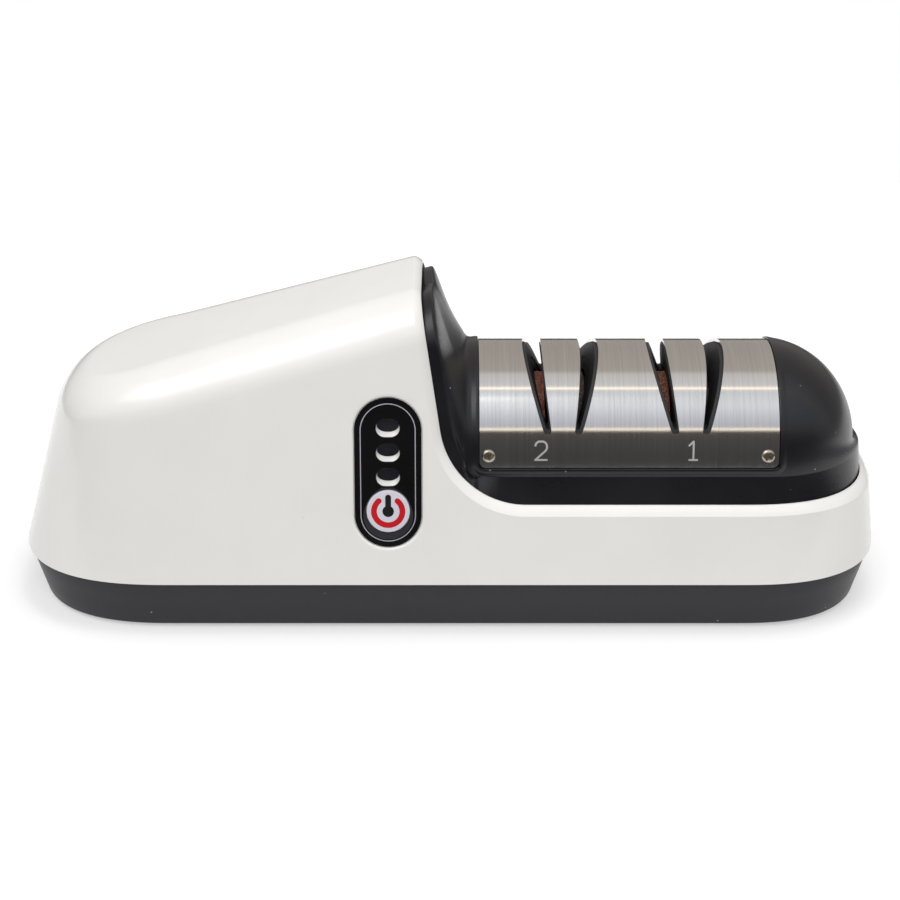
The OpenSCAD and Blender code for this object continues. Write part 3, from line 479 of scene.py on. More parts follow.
def makeCasing():
    r, rim, grow, wall = case["edgeR"], case["rim"], case["edgeRound"], case["wall"]
    tilt = math.radians(case["edgeTilt"])
    cz = rim + r
    cx = case["edgeX"] - edgeSlope * (cz - case["edgeMid"]) + r / math.cos(tilt)
    endSteps, sideSteps, arcSteps, leanSteps, roofSteps = 40, 12, 44, 56, 12
    outCols, bend, inCols = 92, 6, 16  # columns outside, round the edge and inside
    arcQ = placeAt(cx)
    rows = []  # each row: where its rounding starts, its edge, its inner edge and its far end, as (q, t)
    for q in ([3 - i / endSteps for i in range(endSteps)]
              + [2 + (arcQ - 2) * i / sideSteps for i in range(sideSteps)]):
        rows.append(((q, wallT(q, rim - grow, 0)), (q, wallT(q, rim, 0)), (q, wallT(q, rim, wall)), (q, 0.0)))
    for i in range(arcSteps):
        a = -math.pi / 2 - (math.pi / 2 - tilt) * i / arcSteps
        place = []
        for rad in (r + grow, r):
            x, z = cx + rad * math.cos(a), cz + rad * math.sin(a)
            q = placeAt(x)
            place.append((q, wallT(q, z, 0)))
        place.append((q, wallT(q, z, wall)))
        rows.append((*place, (arcQ * (1 - i / arcSteps), 0.0)))
    x, z = cx - r * math.cos(tilt), cz - r * math.sin(tilt)
    tStart = wallT(placeAt(x), z, 0)
    for t in ([tStart + (2 - tStart) * i / leanSteps for i in range(leanSteps + 1)]
              + [2 + i / roofSteps for i in range(1, roofSteps + 1)]):
        far = (t - tStart) / (2 - tStart) * 2 if t <= 2 else t
        rows.append(((edgeQ(t, grow, 0), t), (edgeQ(t, 0, 0), t), (edgeQ(t, 0, wall), t), (0.0, far)))
    closing = endSteps + sideSteps + arcSteps  # rows whose far end lies on the lower edge
    verts, faces = [], []
    for n, side in enumerate((-1, 1)):
        base = len(verts)
        for outer, edge, inner, far in rows:
            line = [skinPoint(*between(outer, far, 1 - m / outCols), 0, side) for m in range(outCols + 1)]
            a = line[-1]
            e = skinPoint(*edge, 0, side)
            i = skinPoint(*inner, wall, side)
            c = e.lerp(i, 0.8)
            for k in range(1, bend + 1):
                u = k / bend
                curve = a * (1 - u) ** 2 + e * 2 * u * (1 - u) + c * u * u
                line.append(curve.lerp(a.lerp(c, u), 0.7))
            line.append(i)
            line += [skinPoint(*between(inner, far, m / inCols), wall, side) for m in range(1, inCols + 1)]
            verts += line
        cols = len(line)
        faces += [tuple(base + i for i in f) for f in loftFaces(len(rows), cols, flip=n == 1)]
        for k in range(closing):
            f = (base + k * cols, base + (k + 1) * cols, base + (k + 2) * cols - 1, base + (k + 1) * cols - 1)
            faces.append(f if n else tuple(reversed(f)))
    return meshObject("casing", verts, faces, smoothAngle=0, paint=["white shell"])


def onPanel():
    y = -case["depth"] / 2 + (panel["z"] - case["split"]) * frontLean
    lean = Matrix.Rotation(math.radians(90 - case["leanFront"]), 4, "X")
    return Matrix.Translation((panel["x"], y, panel["z"])) @ lean


panel = dict(x=-14.8, z=40.4, w=16.0, h=36.6, depth=0.8, film=0.5, buttonD=10.4, buttonDown=9.4,
             windowW=5.7, windowH=4.4, pitch=6.0, up=10.9, fit=0.2, bevel=0.9, lensW=5.1, lensH=2.75,
             lensUp=0.62, lineIn=1.35, lineW=0.22, discR=5.95, discDrop=1.1, tipHalf=1.35, tipTurn=0.62)
socketHole = dict(x=-60, z=24, w=9.4, h=3.6)


def cutPanelPocket(shell):
    m = onPanel()
    w, h = panel["w"] + 2 * panel["fit"], panel["h"] + 2 * panel["fit"]
    mouth = [(0, -panel["depth"]), (0, -0.55)]  # how far the pocket's outline has grown, at which height
    for k in range(1, 7):
        a = math.radians(90 * k / 6)
        mouth.append((panel["bevel"] * (1 - math.cos(a)), -0.55 + 0.57 * math.sin(a)))
    mouth.append((panel["bevel"] + 0.3, 0.3))
    rings = [lifted(roundEnded(w + 2 * grow, h + 2 * grow, steps=64), z, m) for grow, z in mouth]
    cutters = [loft("pocket", rings)]
    for i in range(3):
        dy = panel["up"] - i * panel["pitch"]
        wide = roundEnded(panel["windowW"], panel["windowH"], 0, dy, 64)
        lens = ellipse(panel["lensW"], panel["lensH"], dy + panel["lensUp"])
        rings = []
        for u, z in ((0, 0.5), (0, -panel["depth"]), (0.3, -1.05), (0.75, -1.6), (1, -2.1), (1, -3.4)):
            rings.append(lifted([between(a, b, u) for a, b in zip(wide, lens)], z, m))
        cutters.append(loft("window", rings))
    hole = roundEnded(panel["buttonD"] + 0.4, panel["buttonD"] + 0.4, 0, -panel["buttonDown"], 64)
    cutters.append(loft("buttonHole", [lifted(hole, z, m) for z in (-8, 2)]))
    socket = roundEnded(socketHole["w"], socketHole["h"], socketHole["x"], socketHole["z"], 48)
    cutters.append(loft("socketHole", [[(p[0], y, p[1]) for p in socket] for y in (22, 40)]))
    cutAway(shell, cutters, 20)
    return shell


casing = cutPanelPocket(makeCasing())
softenEdges(casing, 0.3, 55)
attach(casing, "body")
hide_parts("upper_shell")
print("casing made:", len(casing.data.polygons), "faces")


base = dict(drop=0.8, step=0.5, drawEnd=3.4, drawSide=1.9, wall=2.2, top=13.0, footD=12.0, footT=2.2,
            wellR=3.3)
screwSpots = [(-90, 9), (-90, -9), (-40, 25.5), (-40, -25.5), (91, 8), (91, -8)]
footSpots = [(-70, 20), (-70, -20), (72, 20), (72, -20)]


def baseRing(z, inset):
    low = 1 - (z - base["drop"]) / (case["split"] - base["drop"])
    side, end = base["step"] + inset + base["drawSide"] * low, base["step"] + inset + base["drawEnd"] * low
    size = (case["depth"] / 2 - side, case["leftEnd"] - end, case["rightEnd"] - end)
    qs = [i / 28 for i in range(29)] + [1 + i / 8 for i in range(1, 8)] + [2 + i / 28 for i in range(29)]
    return ([ringPoint(q, z, -1, *size) for q in qs]
            + [ringPoint(q, z, 1, *size) for q in reversed(qs[1:-1])])


def makeBase():
    d, wall, top = base["drop"], base["wall"], base["top"]
    levels = ((d, 0.72), (d + 0.05, 0.48), (d + 0.2, 0.28), (d + 0.42, 0.1), (d + 0.7, 0), (5, 0), (9, 0),
              (top - 0.35, 0), (top - 0.1, 0.1), (top, 0.35), (top, wall), (d + wall, wall))
    tray = loft("baseTray", [baseRing(z, inset) for z, inset in levels], paint=["black base"])
    holes = ((screwSpots, base["wellR"], d + 5, 40),
             (footSpots, base["footD"] / 2 + 0.2, base["footT"] - 0.3, 64))
    cutters = []
    for spots, r, z, steps in holes:
        for x, y in spots:
            cutters.append(turned("hole", [(r, -1), (r, z)], steps, Matrix.Translation((x, y, 0))))
    cutAway(tray, cutters, 35)
    return tray


baseTray = makeBase()
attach(baseTray, "body")
print("base made")


saddle = dict(axisZ=37.2, r=24.75, t=1.5, domeX=77.6, band=2.0, skirt=22.0, fit=2.4, lip=0.24, lipW=1.7,
              domeIn=1.6, bandDrop=1.5, round=13.5, scoopZ=42, scoopRise=18, crease=0.08, calm=2.2,
              windowIn=3.4, windowZ=45)
cover = dict(x0=7.1, length=72.1, r=24.3, t=0.8, z0=39.4, fit=0.2, corner=1.5, slotZ=47.4, slotIn=2.75,
             slotW=1.8, slotR=0.6, leanIn=8.0, leanOut=18.8, stageXs=(27.2, 57.9))
cover["x1"] = cover["x0"] + cover["length"]
domeEnd = rightCx + case["rightEnd"] - saddle["fit"] - rightLean * (case["rim"] - case["split"])


def edgeAt(z):
    r = case["edgeR"]
    h = max(0.0, case["rim"] + r - z)
    return case["edgeX"] - edgeSlope * (z - case["edgeMid"]) + (r if h >= r else r - math.sqrt(r * r - h * h))


def insideY(x, z, inset):
    h = z - case["split"]
    b = case["depth"] / 2 - inset - h * frontLean
    a = case["rightEnd"] - inset - h * rightLean
    u = min(1.0, max(0.0, (x - rightCx) / a))
    return b * (1 - u ** case["power"]) ** (1 / case["power"])


def flare(x, z):
    d = x - edgeAt(z) - saddle["band"]
    run = min(14.0, max(5.0, cover["x0"] + 1 - edgeAt(z) - saddle["band"]))
    return 1.0 if d <= 0 else max(0.0, 1 - d / run) ** 2


def recessDistance(x, y, z):
    # distance outside the steel's recess, negative inside it
    ang = math.atan2(abs(y), z - saddle["axisZ"])
    low = math.acos((cover["z0"] - cover["fit"] - saddle["axisZ"]) / cover["r"])
    dx = abs(x - (cover["x0"] + cover["x1"]) / 2) - (cover["length"] / 2 + cover["fit"])
    da = (ang - low) * cover["r"]
    c = cover["corner"]
    ox, oa = max(dx + c, 0), max(da + c, 0)
    return math.hypot(ox, oa) + min(max(dx + c, da + c), 0) - c


def recessStep(x, p, lip):
    # sinks the skin inside the steel's recess and raises a soft lip round it
    d = recessDistance(x, p.y, p.z)
    out = Vector((0, p.y, p.z - saddle["axisZ"])).normalized()
    if d < -0.02:
        return Vector((0, 0, saddle["axisZ"])) + out * (cover["r"] - cover["t"] - 0.05)
    if d < saddle["lipW"]:
        return p + out * lip * math.sin(math.pi * min(1, 0.3 + 0.7 * d / saddle["lipW"])) ** 1.4
    return p


def smoothStep(u):
    u = min(1.0, max(0.0, u))
    return u * u * (3 - 2 * u)


def saddlePoint(x, f, g=0.0, v=None):
    # f runs from the level line, 0, up to the ridge, 1, and g is how much of the casing's section is left
    r, inset = saddle["r"], saddle["fit"]
    q = placeAt(min(x, rightCx - 1))
    reach = domeEnd - saddle["domeIn"] * smoothStep(f * 5) - saddle["domeX"]
    shrink = 1.0 if x <= saddle["domeX"] else math.sqrt(max(0.0, 1 - ((x - saddle["domeX"]) / reach) ** 2))
    a = skinAnchors(q, inset, -1, saddle["round"])[1]
    tz = (saddle["axisZ"] - case["split"]) / (a.z - case["split"])
    ang = math.radians(90 * f)
    own = Vector((0, -r * shrink * math.cos(ang), saddle["axisZ"] + r * shrink * math.sin(ang)))
    wall = skinPoint(q, tz + (3 - tz) * f, inset, -1, saddle["round"])
    wall = Vector((0, wall.y, wall.z - saddle["bandDrop"] * f * f))
    if v is not None:
        k = smoothStep((wall.z - saddle["scoopZ"]) / saddle["scoopRise"])
        e = saddle["crease"]  # rounds the crease a little
        soft = (math.hypot(v, e) - e) / (math.hypot(1, e) - e)
        g = (1 - soft) ** 1.4 * k + (1 - k) * (1 + math.cos(math.pi * v)) / 2 if v > 0 else 1.0
        g = max(g, (1 - k) * flare(x, wall.z))
    near = own + g * (wall - own)
    g *= smoothStep((recessDistance(x, near.y, near.z) - saddle["lipW"]) / saddle["calm"])
    p = own + g * (wall - own)
    lip = saddle["lip"] * (1 - smoothStep((f - 0.6) / 0.3))
    return recessStep(x, p, lip) if x <= saddle["domeX"] + 4 else p


def makeSaddle():
    fit = cover["fit"]
    c0, c1 = cover["x0"] - fit, cover["x1"] + fit
    near = [-1.9, -1.7, -1.5, -1.3, -1.1, -0.9, -0.7, -0.5, -0.35, -0.2, -0.1, -0.03, 0.01, 0.15, 0.3, 0.5,
            0.8, 1.1, 1.5]  # closer lines by the edge of the steel's recess
    under = [-7, -5, -3, -1.5, -0.4, 0.5, 1.2, 1.7, 1.95]  # along the band and under the casing
    over = [0.0, 0.015, 0.04, 0.08, 0.14, 0.2, 0.28, 0.36, 0.45, 0.54, 0.63, 0.72, 0.8,
            0.87, 0.93]  # along the scoop
    lowAng = math.degrees(math.asin((cover["z0"] - fit - saddle["axisZ"]) / cover["r"]))
    degree = math.radians(1) * cover["r"]
    angles = [0, lowAng * 0.3, lowAng * 0.5] + [lowAng + d / degree for d in near]
    angles = sorted(a for a in angles if a >= 0)
    angles += [lowAng + 5 + (90 - lowAng - 5) * i / 48 for i in range(49)]
    fs = [a / 90 for a in angles]
    edgeXs = []
    for f in fs:
        x = 0.0
        for _ in range(6):
            x = min(edgeAt(saddlePoint(x, f, 1.0).z), 2.6)
        edgeXs.append(x)
    first = c0 - 2
    columns = []  # one line of points per row of x, from the skirt to the ridge

    def addColumn(foot, xs, **kw):
        skirt = [(foot, -insideY(foot, z, saddle["fit"]), z) for z in (saddle["skirt"], case["rim"] - 0.8)]
        columns.append(skirt + [(x, *saddlePoint(x, f, **kw).yz) for x, f in zip(xs, fs)])

    for s in under:
        addColumn(edgeXs[0] + s, [x + s for x in edgeXs], g=1.0)
    for v in over:
        xs = [x + saddle["band"] + (first - x - saddle["band"]) * v for x in edgeXs]
        addColumn(xs[0], xs, v=v)
    xs = [first] + [c0 + d for d in near] + [c0 + 2 + (c1 - c0 - 4) * i / 36 for i in range(37)]
    xs += [c1 - d for d in reversed(near)]
    reach = domeEnd - saddle["domeX"]
    startA = math.degrees(math.asin((c1 + 2 - saddle["domeX"]) / reach))
    turns = [math.radians(startA + (89.6 - startA) * i / 54) for i in range(55)]  # closer towards the tip
    xs += [saddle["domeX"] + reach * math.sin(a) for a in turns]
    for x in sorted(xs):
        addColumn(x, [x] * len(fs), v=1.0 if x < 12 else None)
    full = [line + [(p[0], -p[1], p[2]) for p in reversed(line[:-1])] for line in columns]
    verts = [p for line in full for p in line]
    w0, w1, low = cover["x0"] + saddle["windowIn"], cover["x1"] - saddle["windowIn"], saddle["windowZ"]
    faces = [face for face in loftFaces(len(full), len(full[0]))
             if not all(w0 < verts[i][0] < w1 and verts[i][2] > low for i in face)]
    skin = meshObject("saddle", verts, faces, smoothAngle=0, paint=["black saddle"])
    thicken(skin, saddle["t"])
    shadeByAngle(skin, 42)
    return skin


saddleSkin = makeSaddle()
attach(saddleSkin, "body")
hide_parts("saddle_housing")
print("saddle made:", len(saddleSkin.data.polygons), "faces")


def slotEdges(z):
    # distance of a slot's two edges from its stage's middle at height z
    h = z - cover["slotZ"]
    near = cover["slotIn"] + h * tanDeg(cover["leanIn"])
    far = cover["slotIn"] + cover["slotW"] + h * tanDeg(cover["leanOut"])
    r = cover["slotR"]
    if h < r:
        pinch = r - math.sqrt(max(0.0, r * r - (r - h) ** 2))
        near, far = near + pinch, far - pinch
    return near, far


def makeCover():
    r = cover["r"]
    lowAng = math.asin((cover["z0"] - saddle["axisZ"]) / r)
    slotAng = math.asin((cover["slotZ"] - saddle["axisZ"]) / r)
    half = [lowAng + s / r for s in (0, 0.06, 0.2, 0.4, 0.7, 1.1, 1.5)]  # closer lines at the round corners
    half += [half[-1] + (slotAng - half[-1]) * i / 10 for i in range(1, 11)]
    half += [slotAng + s / r for s in (0.03, 0.12, 0.3, 0.6)]  # and at the slots' round ends
    rest = half[-1]
    half += [rest + (math.pi / 2 - rest) * i / 34 for i in range(1, 35)]
    angs = half + [math.pi - a for a in reversed(half[:-1])]
    parts = (10, 1, 4, 1, 14, 1, 4, 1, 10)  # steps across the steel, with every other part a slot
    verts, faces, cutRows = [], [], []
    for a in angs:
        z = saddle["axisZ"] + r * math.sin(a)
        y = -r * math.cos(a)
        s = (min(a, math.pi - a) - lowAng) * r
        c = cover["corner"]
        nip = c - math.sqrt(max(0.0, c * c - (c - s) ** 2)) if s < c else 0.0
        near, far = slotEdges(max(z, cover["slotZ"] + 0.02))
        breaks = [cover["x0"] + nip]
        for x in cover["stageXs"]:
            breaks += [x - far, x - near, x + near, x + far]
        breaks.append(cover["x1"] - nip)
        row = []
        for b0, b1, count in zip(breaks, breaks[1:], parts):
            row += [b0 + (b1 - b0) * i / count for i in range(count)]
        row.append(breaks[-1])
        cutRows.append(z > cover["slotZ"] + 0.001)
        verts += [(x, y, z) for x in row]
    slots = {sum(parts[:i]) for i in (1, 3, 5, 7)}
    for j in range(len(angs) - 1):
        for c in range(sum(parts)):
            if not (c in slots and cutRows[j] and cutRows[j + 1]):
                k = j * (sum(parts) + 1) + c
                faces.append((k, k + 1, k + sum(parts) + 2, k + sum(parts) + 1))
    plate = meshObject("slotCover", verts, faces, smoothAngle=0, paint=["brushed steel", "bright edge"])
    thicken(plate, cover["t"], rimPaint=1)
    shadeByAngle(plate, 35)
    return plate


steel = makeCover()
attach(steel, "body")
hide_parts("slot_cover")
print("steel cover made:", len(steel.data.polygons), "faces")


def ribbonOnCover(name, strokes, width, finish):
    # flat strokes in (x, arc length up from the level) laid on the steel
    verts, faces = [], []
    r = cover["r"] + 0.02
    for stroke in strokes:
        pts = [Vector(p) for p in stroke]
        for p0, p1 in zip(pts, pts[1:]):
            d = (p1 - p0).normalized()
            nrm = Vector((-d.y, d.x)) * width / 2
            a, b = p0 - d * width * 0.35, p1 + d * width * 0.35
            n = max(1, int((b - a).length / 0.5))
            start = len(verts)
            for i in range(n + 1):
                c = a.lerp(b, i / n)
                for s in (-1, 1):
                    w = c + nrm * s
                    th = w.y / cover["r"]
                    verts.append((w.x, -r * math.cos(th), saddle["axisZ"] + r * math.sin(th)))
            for i in range(n):
                k = start + 2 * i
                faces.append((k, k + 1, k + 3, k + 2))
    return meshObject(name, verts, faces, smoothAngle=0, paint=[finish])


numeral = dict(height=4.5, width=2.8, stroke=0.46, z=43.6, leftX=21.9, rightX=58.4)


def makeNumerals():
    low = math.asin((numeral["z"] - saddle["axisZ"]) / cover["r"]) * cover["r"] - numeral["height"] / 2
    h, w = numeral["height"], numeral["width"]
    two = [(0, 0.78), (0.1, 0.92), (0.3, 1.0), (0.7, 1.0), (0.9, 0.92), (1.0, 0.78), (1.0, 0.64), (0.88, 0.5),
           (0, 0), (1, 0)]
    one, foot = [(0.18, 0.78), (0.55, 1.0), (0.55, 0.0)], [(0.2, 0.0), (0.9, 0.0)]
    strokes = []
    for centre, shape in ((numeral["leftX"], two), (numeral["rightX"], one), (numeral["rightX"], foot)):
        strokes.append([(centre - w / 2 + p[0] * w, low + p[1] * h) for p in shape])
    return ribbonOnCover("stageNumerals", strokes, numeral["stroke"], "etched mark")


numerals = makeNumerals()
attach(numerals, "body")


coverScrew = dict(z=42.3, r=1.62, high=0.6, slotLong=0.9, slotHalf=0.22, leftX=9.3, rightX=76.6)


def makeCoverScrew(name, x, side, turn):
    # a frame on the cover with its z pointing out
    ang = math.asin((coverScrew["z"] - saddle["axisZ"]) / cover["r"])
    m = (Matrix.Translation((x, 0, saddle["axisZ"])) @ Matrix.Rotation(side * (math.pi / 2 - ang), 4, "X")
         @ Matrix.Translation((0, 0, cover["r"])) @ Matrix.Rotation(math.radians(turn), 4, "Z"))
    r, high = coverScrew["r"], coverScrew["high"]
    profile = [(0.82, -3.8), (0.82, 0.02), (r - 0.05, 0.02), (r, 0.1), (r - 0.02, 0.22), (r - 0.2, 0.42),
               (r - 0.6, high - 0.05), (0.5, high)]
    head = turned(name, profile, 48, m, paint=["screw steel"])
    cutters = []
    for turnBy in (0, 90):
        arm = m @ Matrix.Rotation(math.radians(turnBy), 4, "Z")
        rings = []
        for grow, z in ((0, 0.0), (1, 0.75)):
            a, b = coverScrew["slotLong"] + 0.4 * grow, coverScrew["slotHalf"] + 0.12 * grow
            rings.append(lifted(((-a, -b), (a, -b), (a, b), (-a, b)), z, arm))
        cutters.append(loft("cross", rings))
    cutAway(head, cutters, 35)
    return head


screwTurns = (("leftX", 1, 20), ("rightX", 1, 52), ("leftX", -1, 35), ("rightX", -1, 8))
for k, (end, side, turn) in enumerate(screwTurns):
    piece = makeCoverScrew("coverScrew%d" % (k + 1), coverScrew[end], side, turn)
    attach(piece, "body")
    if k == 0:
        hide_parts("cover_screws")
print("cover screws and numerals made")


def makePanel():
    m, down, fit = onPanel(), panel["buttonDown"], panel["buttonD"] / 2 + 0.2
    outlines = [roundEnded(panel["w"], panel["h"], steps=96)]
    for i in range(3):
        dy = panel["up"] - i * panel["pitch"]
        outlines.append(roundEnded(panel["windowW"], panel["windowH"], 0, dy, 48))
    outlines.append(roundEnded(2 * fit, 2 * fit, 0, -down, 64))
    top = -panel["depth"] + panel["film"]
    film = flatPlate("panelFilm", outlines, -panel["depth"], top, m, 0.08, "panel gloss")
    insets = (panel["lineIn"], panel["lineIn"] + panel["lineW"])
    outlines = [roundEnded(panel["w"] - 2 * inset, panel["h"] - 2 * inset, steps=96) for inset in insets]
    line = flatPlate("panelLine", outlines, top + 0.002, top + 0.022, m, 0, "panel line")
    hole, discR, drop, turn = fit + 0.01, panel["discR"], panel["discDrop"], panel["tipTurn"]
    tipY = panel["up"] - 2 * panel["pitch"] - panel["windowH"] / 2 - 0.3 + down
    tipAngle = math.atan2(tipY, panel["tipHalf"])
    outline = []  # a disc round the button, drawn up to a flat tip under the lowest window
    for i in range(144):
        a = 2 * math.pi * i / 144
        side = math.pi / 2 - abs(a - math.pi / 2)  # the same height angle on both sides of the drop
        sink = -drop * math.sin(a)
        reach = max(sink + math.sqrt(sink * sink - drop * drop + discR * discR), hole + 0.1)
        if side > tipAngle:
            reach = tipY / math.sin(a)
        elif side > tipAngle - turn:
            k = (side - tipAngle + turn) / turn
            reach = max(reach, (hole + 0.12) * (1 - k * k) + math.hypot(tipY, panel["tipHalf"]) * k * k)
        outline.append((reach * math.cos(a), reach * math.sin(a) - down))
    surround = flatPlate("buttonSurround", [outline, roundEnded(2 * hole, 2 * hole, 0, -down, 96)],
                         top + 0.002, top + 0.02, m, 0, "button surround")
    return film, line, surround


film, line, surround = makePanel()
for piece, slotName in ((film, "black_gloss"), (line, "button_silver"), (surround, "black_gloss")):
    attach(piece, "body")
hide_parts("control_panel")


def makeLens(i):
    dy = panel["up"] - i * panel["pitch"] + panel["lensUp"]
    rings = []
    for grow, z in ((-0.04, -3.3), (-0.04, -1.95), (-0.12, -1.8), (-0.4, -1.7), (-1.0, -1.66)):
        rings.append(lifted(ellipse(panel["lensW"] + grow, panel["lensH"] + grow, dy), z, onPanel()))
    return loft("lens%d" % (i + 1), rings, paint=["smoked lens"])


for i in range(3):
    piece = makeLens(i)
    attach(piece, "body")


power = dict(flange=0.6, stem=2.0, ringOut=4.1, ringIn=2.72, gap=41, dotR=1.38, barHalf=0.7, barTop=4.15)
buttonFrame = onPanel() @ Matrix.Translation((0, -panel["buttonDown"], 0))


def makeButton():
    r, flange, stem = panel["buttonD"] / 2, panel["buttonD"] / 2 + power["flange"], power["stem"]
    profile = [(stem, -4.8), (stem, -3.6), (flange, -3.6), (flange, -2.6), (r, -2.6), (r, -0.22),
               (r - 0.06, -0.1), (r - 0.2, -0.03), (r - 0.45, 0), (0.3, 0)]
    return turned("powerButton", profile, 96, buttonFrame, paint=["button face"])


def arcBand(rOut, rIn, gap, steps=72):
    # outline of a broken ring with round ends, its gap centred at the top
    mid, half = (rOut + rIn) / 2, (rOut - rIn) / 2
    a0, a1 = math.radians(90 + gap), math.radians(450 - gap)
    end, start = ((mid * math.cos(a), mid * math.sin(a)) for a in (a1, a0))
    return (arc((0, 0), rOut, a0, a1, steps) + arc(end, half, a1, a1 + math.pi, 8)[1:-1]
            + arc((0, 0), rIn, a1, a0, steps) + arc(start, half, a0 + math.pi, a0 + 2 * math.pi, 8)[1:-1])


def keyhole(dotR, barHalf, top, steps=24):
    # the short bar and dot in the middle of the power mark
    start = math.asin(barHalf / dotR)
    return (arc((0, 0), dotR, math.pi / 2 + start, math.pi * 5 / 2 - start, steps)
            + arc((0, top - barHalf), barHalf, 0, math.pi, 12))


button = makeButton()
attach(button, "button")
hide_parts("power_button")
ringOutline = arcBand(power["ringOut"], power["ringIn"], power["gap"])
ringMark = flatPlate("powerRing", [ringOutline], 0.002, 0.016, buttonFrame, 0, "red print")
barOutline = keyhole(power["dotR"], power["barHalf"], power["barTop"])
barMark = flatPlate("powerBar", [barOutline], 0.002, 0.016, buttonFrame, 0, "black print")
for piece in (ringMark, barMark):
    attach(piece, "button")
print("panel and button made")


# inner pieces keep their solids, and every solid gets its finish
finishes = {
    "black base": ("base_tray",),
    "white shell": ("upper_shell",),
    "black saddle": ("saddle_housing",),
    "brushed steel": ("slot_cover",),
    "panel gloss": ("control_panel",),
    "button face": ("power_button",),
    "brown abrasive": ("fine_wheel_left", "coarse_wheel_left"),
    # the right wheels: the same grit as the left ones, darkened as painted shade
    "abrasive in painted shade": ("fine_wheel_right", "coarse_wheel_right"),
    "plain steel": ("grinding_shaft", "wheel_spacers", "shaft_clip", "motor_shaft"),
    "bright steel": ("bearing_left", "bearing_right", "motor_can", "charge_socket"),
    "black inner plastic": ("blade_guide", "shaft_coupling", "bearing_bracket_left", "bearing_bracket_right",
                            "motor_bracket", "tact_switch", "battery_strap"),
    "cream plastic": ("motor_end_cap", "switch_plunger"),
    "screw steel": ("cover_screws", "motor_screws", "bracket_screws", "board_screws", "strap_screws",
                    "case_screws"),
    "smoked lens": ("light_guide",),
    "led body": ("indicator_leds",),
    "board green": ("control_board", "charge_board"),
    "cell wrap": ("battery_cell",),
    "foot rubber": ("rubber_feet",),
}
finishOf = {name: finish for finish, names in finishes.items() for name in names}
for name, obj in nodes.items():
    mat = mats[finishOf[name]]
    if not obj.data.materials:
        obj.data.materials.append(mat)
    for i in range(len(obj.data.materials)):
        obj.data.materials[i] = mat
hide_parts("base_tray")
print("inner pieces finished:", len(nodes))


# studio is what glossy pieces reflect, by angle from the front horizon over the top to the back one
stage = dict(world=0.54, sideDim=0.75, floorGlow=0.42, floorX=520, floorFront=-150, floorBack=330,
             keyPower=2.0, fillPower=2.6, topPower=3.5,
             studio=[(0, (0.07, 0.07, 0.07)), (29.2, (0.105, 0.098, 0.094)), (29.9, (2.2, 1.95, 1.6)),
                     (31.0, (2.2, 1.95, 1.6)), (32.0, (0.66, 0.69, 0.77)), (58, (1.0, 1.04, 1.12)),
                     (79.0, (0.86, 0.88, 0.94)), (79.8, (2.4, 2.1, 1.7)), (81.2, (2.4, 2.1, 1.7)),
                     (82.0, (0.90, 0.90, 0.93)), (100, (0.80, 0.78, 0.77)), (106, (0.56, 0.52, 0.48)),
                     (180, (0.44, 0.41, 0.38))])


def makeFloor():
    x, front, back = stage["floorX"], stage["floorFront"], stage["floorBack"]
    tree, bsdf = newMaterial("pale floor")
    feed(bsdf, Base_Color=(0.56, 0.56, 0.56, 1), Roughness=0.9)
    where = addNode(tree, "ShaderNodeTexCoord").outputs["Object"]
    away = addNode(tree, "ShaderNodeVectorMath", operation="LENGTH", Vector=where).outputs["Value"]
    level = remap(tree, away, 0.13, 0.55, stage["floorGlow"], 1.0)  # low by the shadow, full further out
    path = addNode(tree, "ShaderNodeLightPath").outputs
    seen = mathNode(tree, "MAXIMUM", path["Is Camera Ray"], path["Is Glossy Ray"])
    seen = mathNode(tree, "MAXIMUM", seen, path["Is Transmission Ray"])
    glow = addNode(tree, "ShaderNodeEmission", Strength=mathNode(tree, "MULTIPLY", level, seen))
    add = addNode(tree, "ShaderNodeAddShader")
    tree.links.new(bsdf.outputs["BSDF"], add.inputs[0])
    tree.links.new(glow.outputs["Emission"], add.inputs[1])
    feed(tree.nodes["Material Output"], Surface=add.outputs["Shader"])
    floor = meshObject("floor", [(-x, front, 0), (x, front, 0), (x, back, 0), (-x, back, 0)], [(0, 1, 2, 3)],
                       smoothAngle=0, paint=["pale floor"])


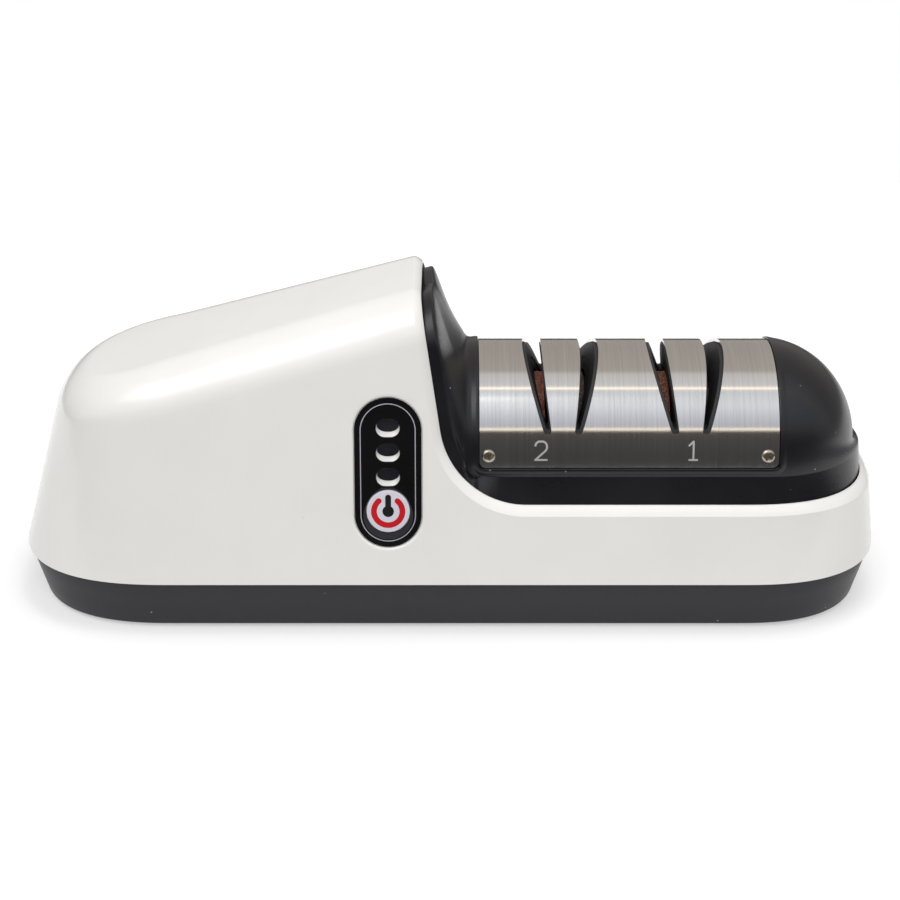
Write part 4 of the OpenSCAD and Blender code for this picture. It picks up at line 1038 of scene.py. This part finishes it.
def makeWorld():
    world = bpy.data.worlds.new("studio")
    bpy.context.scene.world = world
    world.use_nodes = True
    tree = world.node_tree
    where = addNode(tree, "ShaderNodeTexCoord").outputs["Generated"]
    axes = addNode(tree, "ShaderNodeSeparateXYZ", Vector=where).outputs
    turn = mathNode(tree, "ARCTAN2", axes["Z"], mathNode(tree, "MULTIPLY", axes["Y"], -1.0))
    light = ramp(tree, mathNode(tree, "DIVIDE", turn, math.pi), [(a / 180, c) for a, c in stage["studio"]])
    sides = remap(tree, mathNode(tree, "ABSOLUTE", axes["X"]), 0.55, 0.9, 1.0, stage["sideDim"])
    light = addNode(tree, "ShaderNodeVectorMath", operation="SCALE", Vector=light, Scale=sides)
    path = addNode(tree, "ShaderNodeLightPath").outputs
    colour = blend(tree, path["Is Glossy Ray"], (*[stage["world"]] * 3, 1), light.outputs["Vector"])
    seen = mathNode(tree, "MAXIMUM", path["Is Camera Ray"], path["Is Transmission Ray"])
    feed(tree.nodes["Background"], Color=blend(tree, seen, colour, (1, 1, 1, 1)))


def addLamp(name, power, sizeX, sizeY, place, inGloss):
    lamp = bpy.data.lights.new(name, "AREA")
    lamp.energy = power
    lamp.shape = "RECTANGLE"
    lamp.size = sizeX
    lamp.size_y = sizeY
    obj = bpy.data.objects.new(name, lamp)
    bpy.context.scene.collection.objects.link(obj)
    obj.location = place
    obj.rotation_euler = (Vector((0, 0, 0.03)) - Vector(place)).to_track_quat("-Z", "Y").to_euler()
    obj.visible_glossy = inGloss


view = dict(place=(0, -0.43432, 0.23717), tilt=64.8, sensor=36, focal=1889.91, frame=900)  # last two in px


def makeCamera():
    camera = bpy.data.cameras.new("camera")
    camera.lens = view["focal"] / view["frame"] * view["sensor"]
    camera.sensor_width = view["sensor"]
    obj = bpy.data.objects.new("camera", camera)
    bpy.context.scene.collection.objects.link(obj)
    obj.location = view["place"]
    obj.rotation_euler = (math.radians(view["tilt"]), 0, 0)
    bpy.context.scene.camera = obj


makeFloor()
makeWorld()
addLamp("key", stage["keyPower"], 0.5, 0.5, (-0.35, -0.35, 0.78), True)
addLamp("top", stage["topPower"], 0.7, 0.4, (0.15, 0.1, 0.85), False)
addLamp("fill", stage["fillPower"], 0.6, 0.6, (0.1, -0.76, 0.5), False)
makeCamera()
bpy.context.scene.view_settings.view_transform = "Standard"
print("floor, studio, lamps and camera placed")
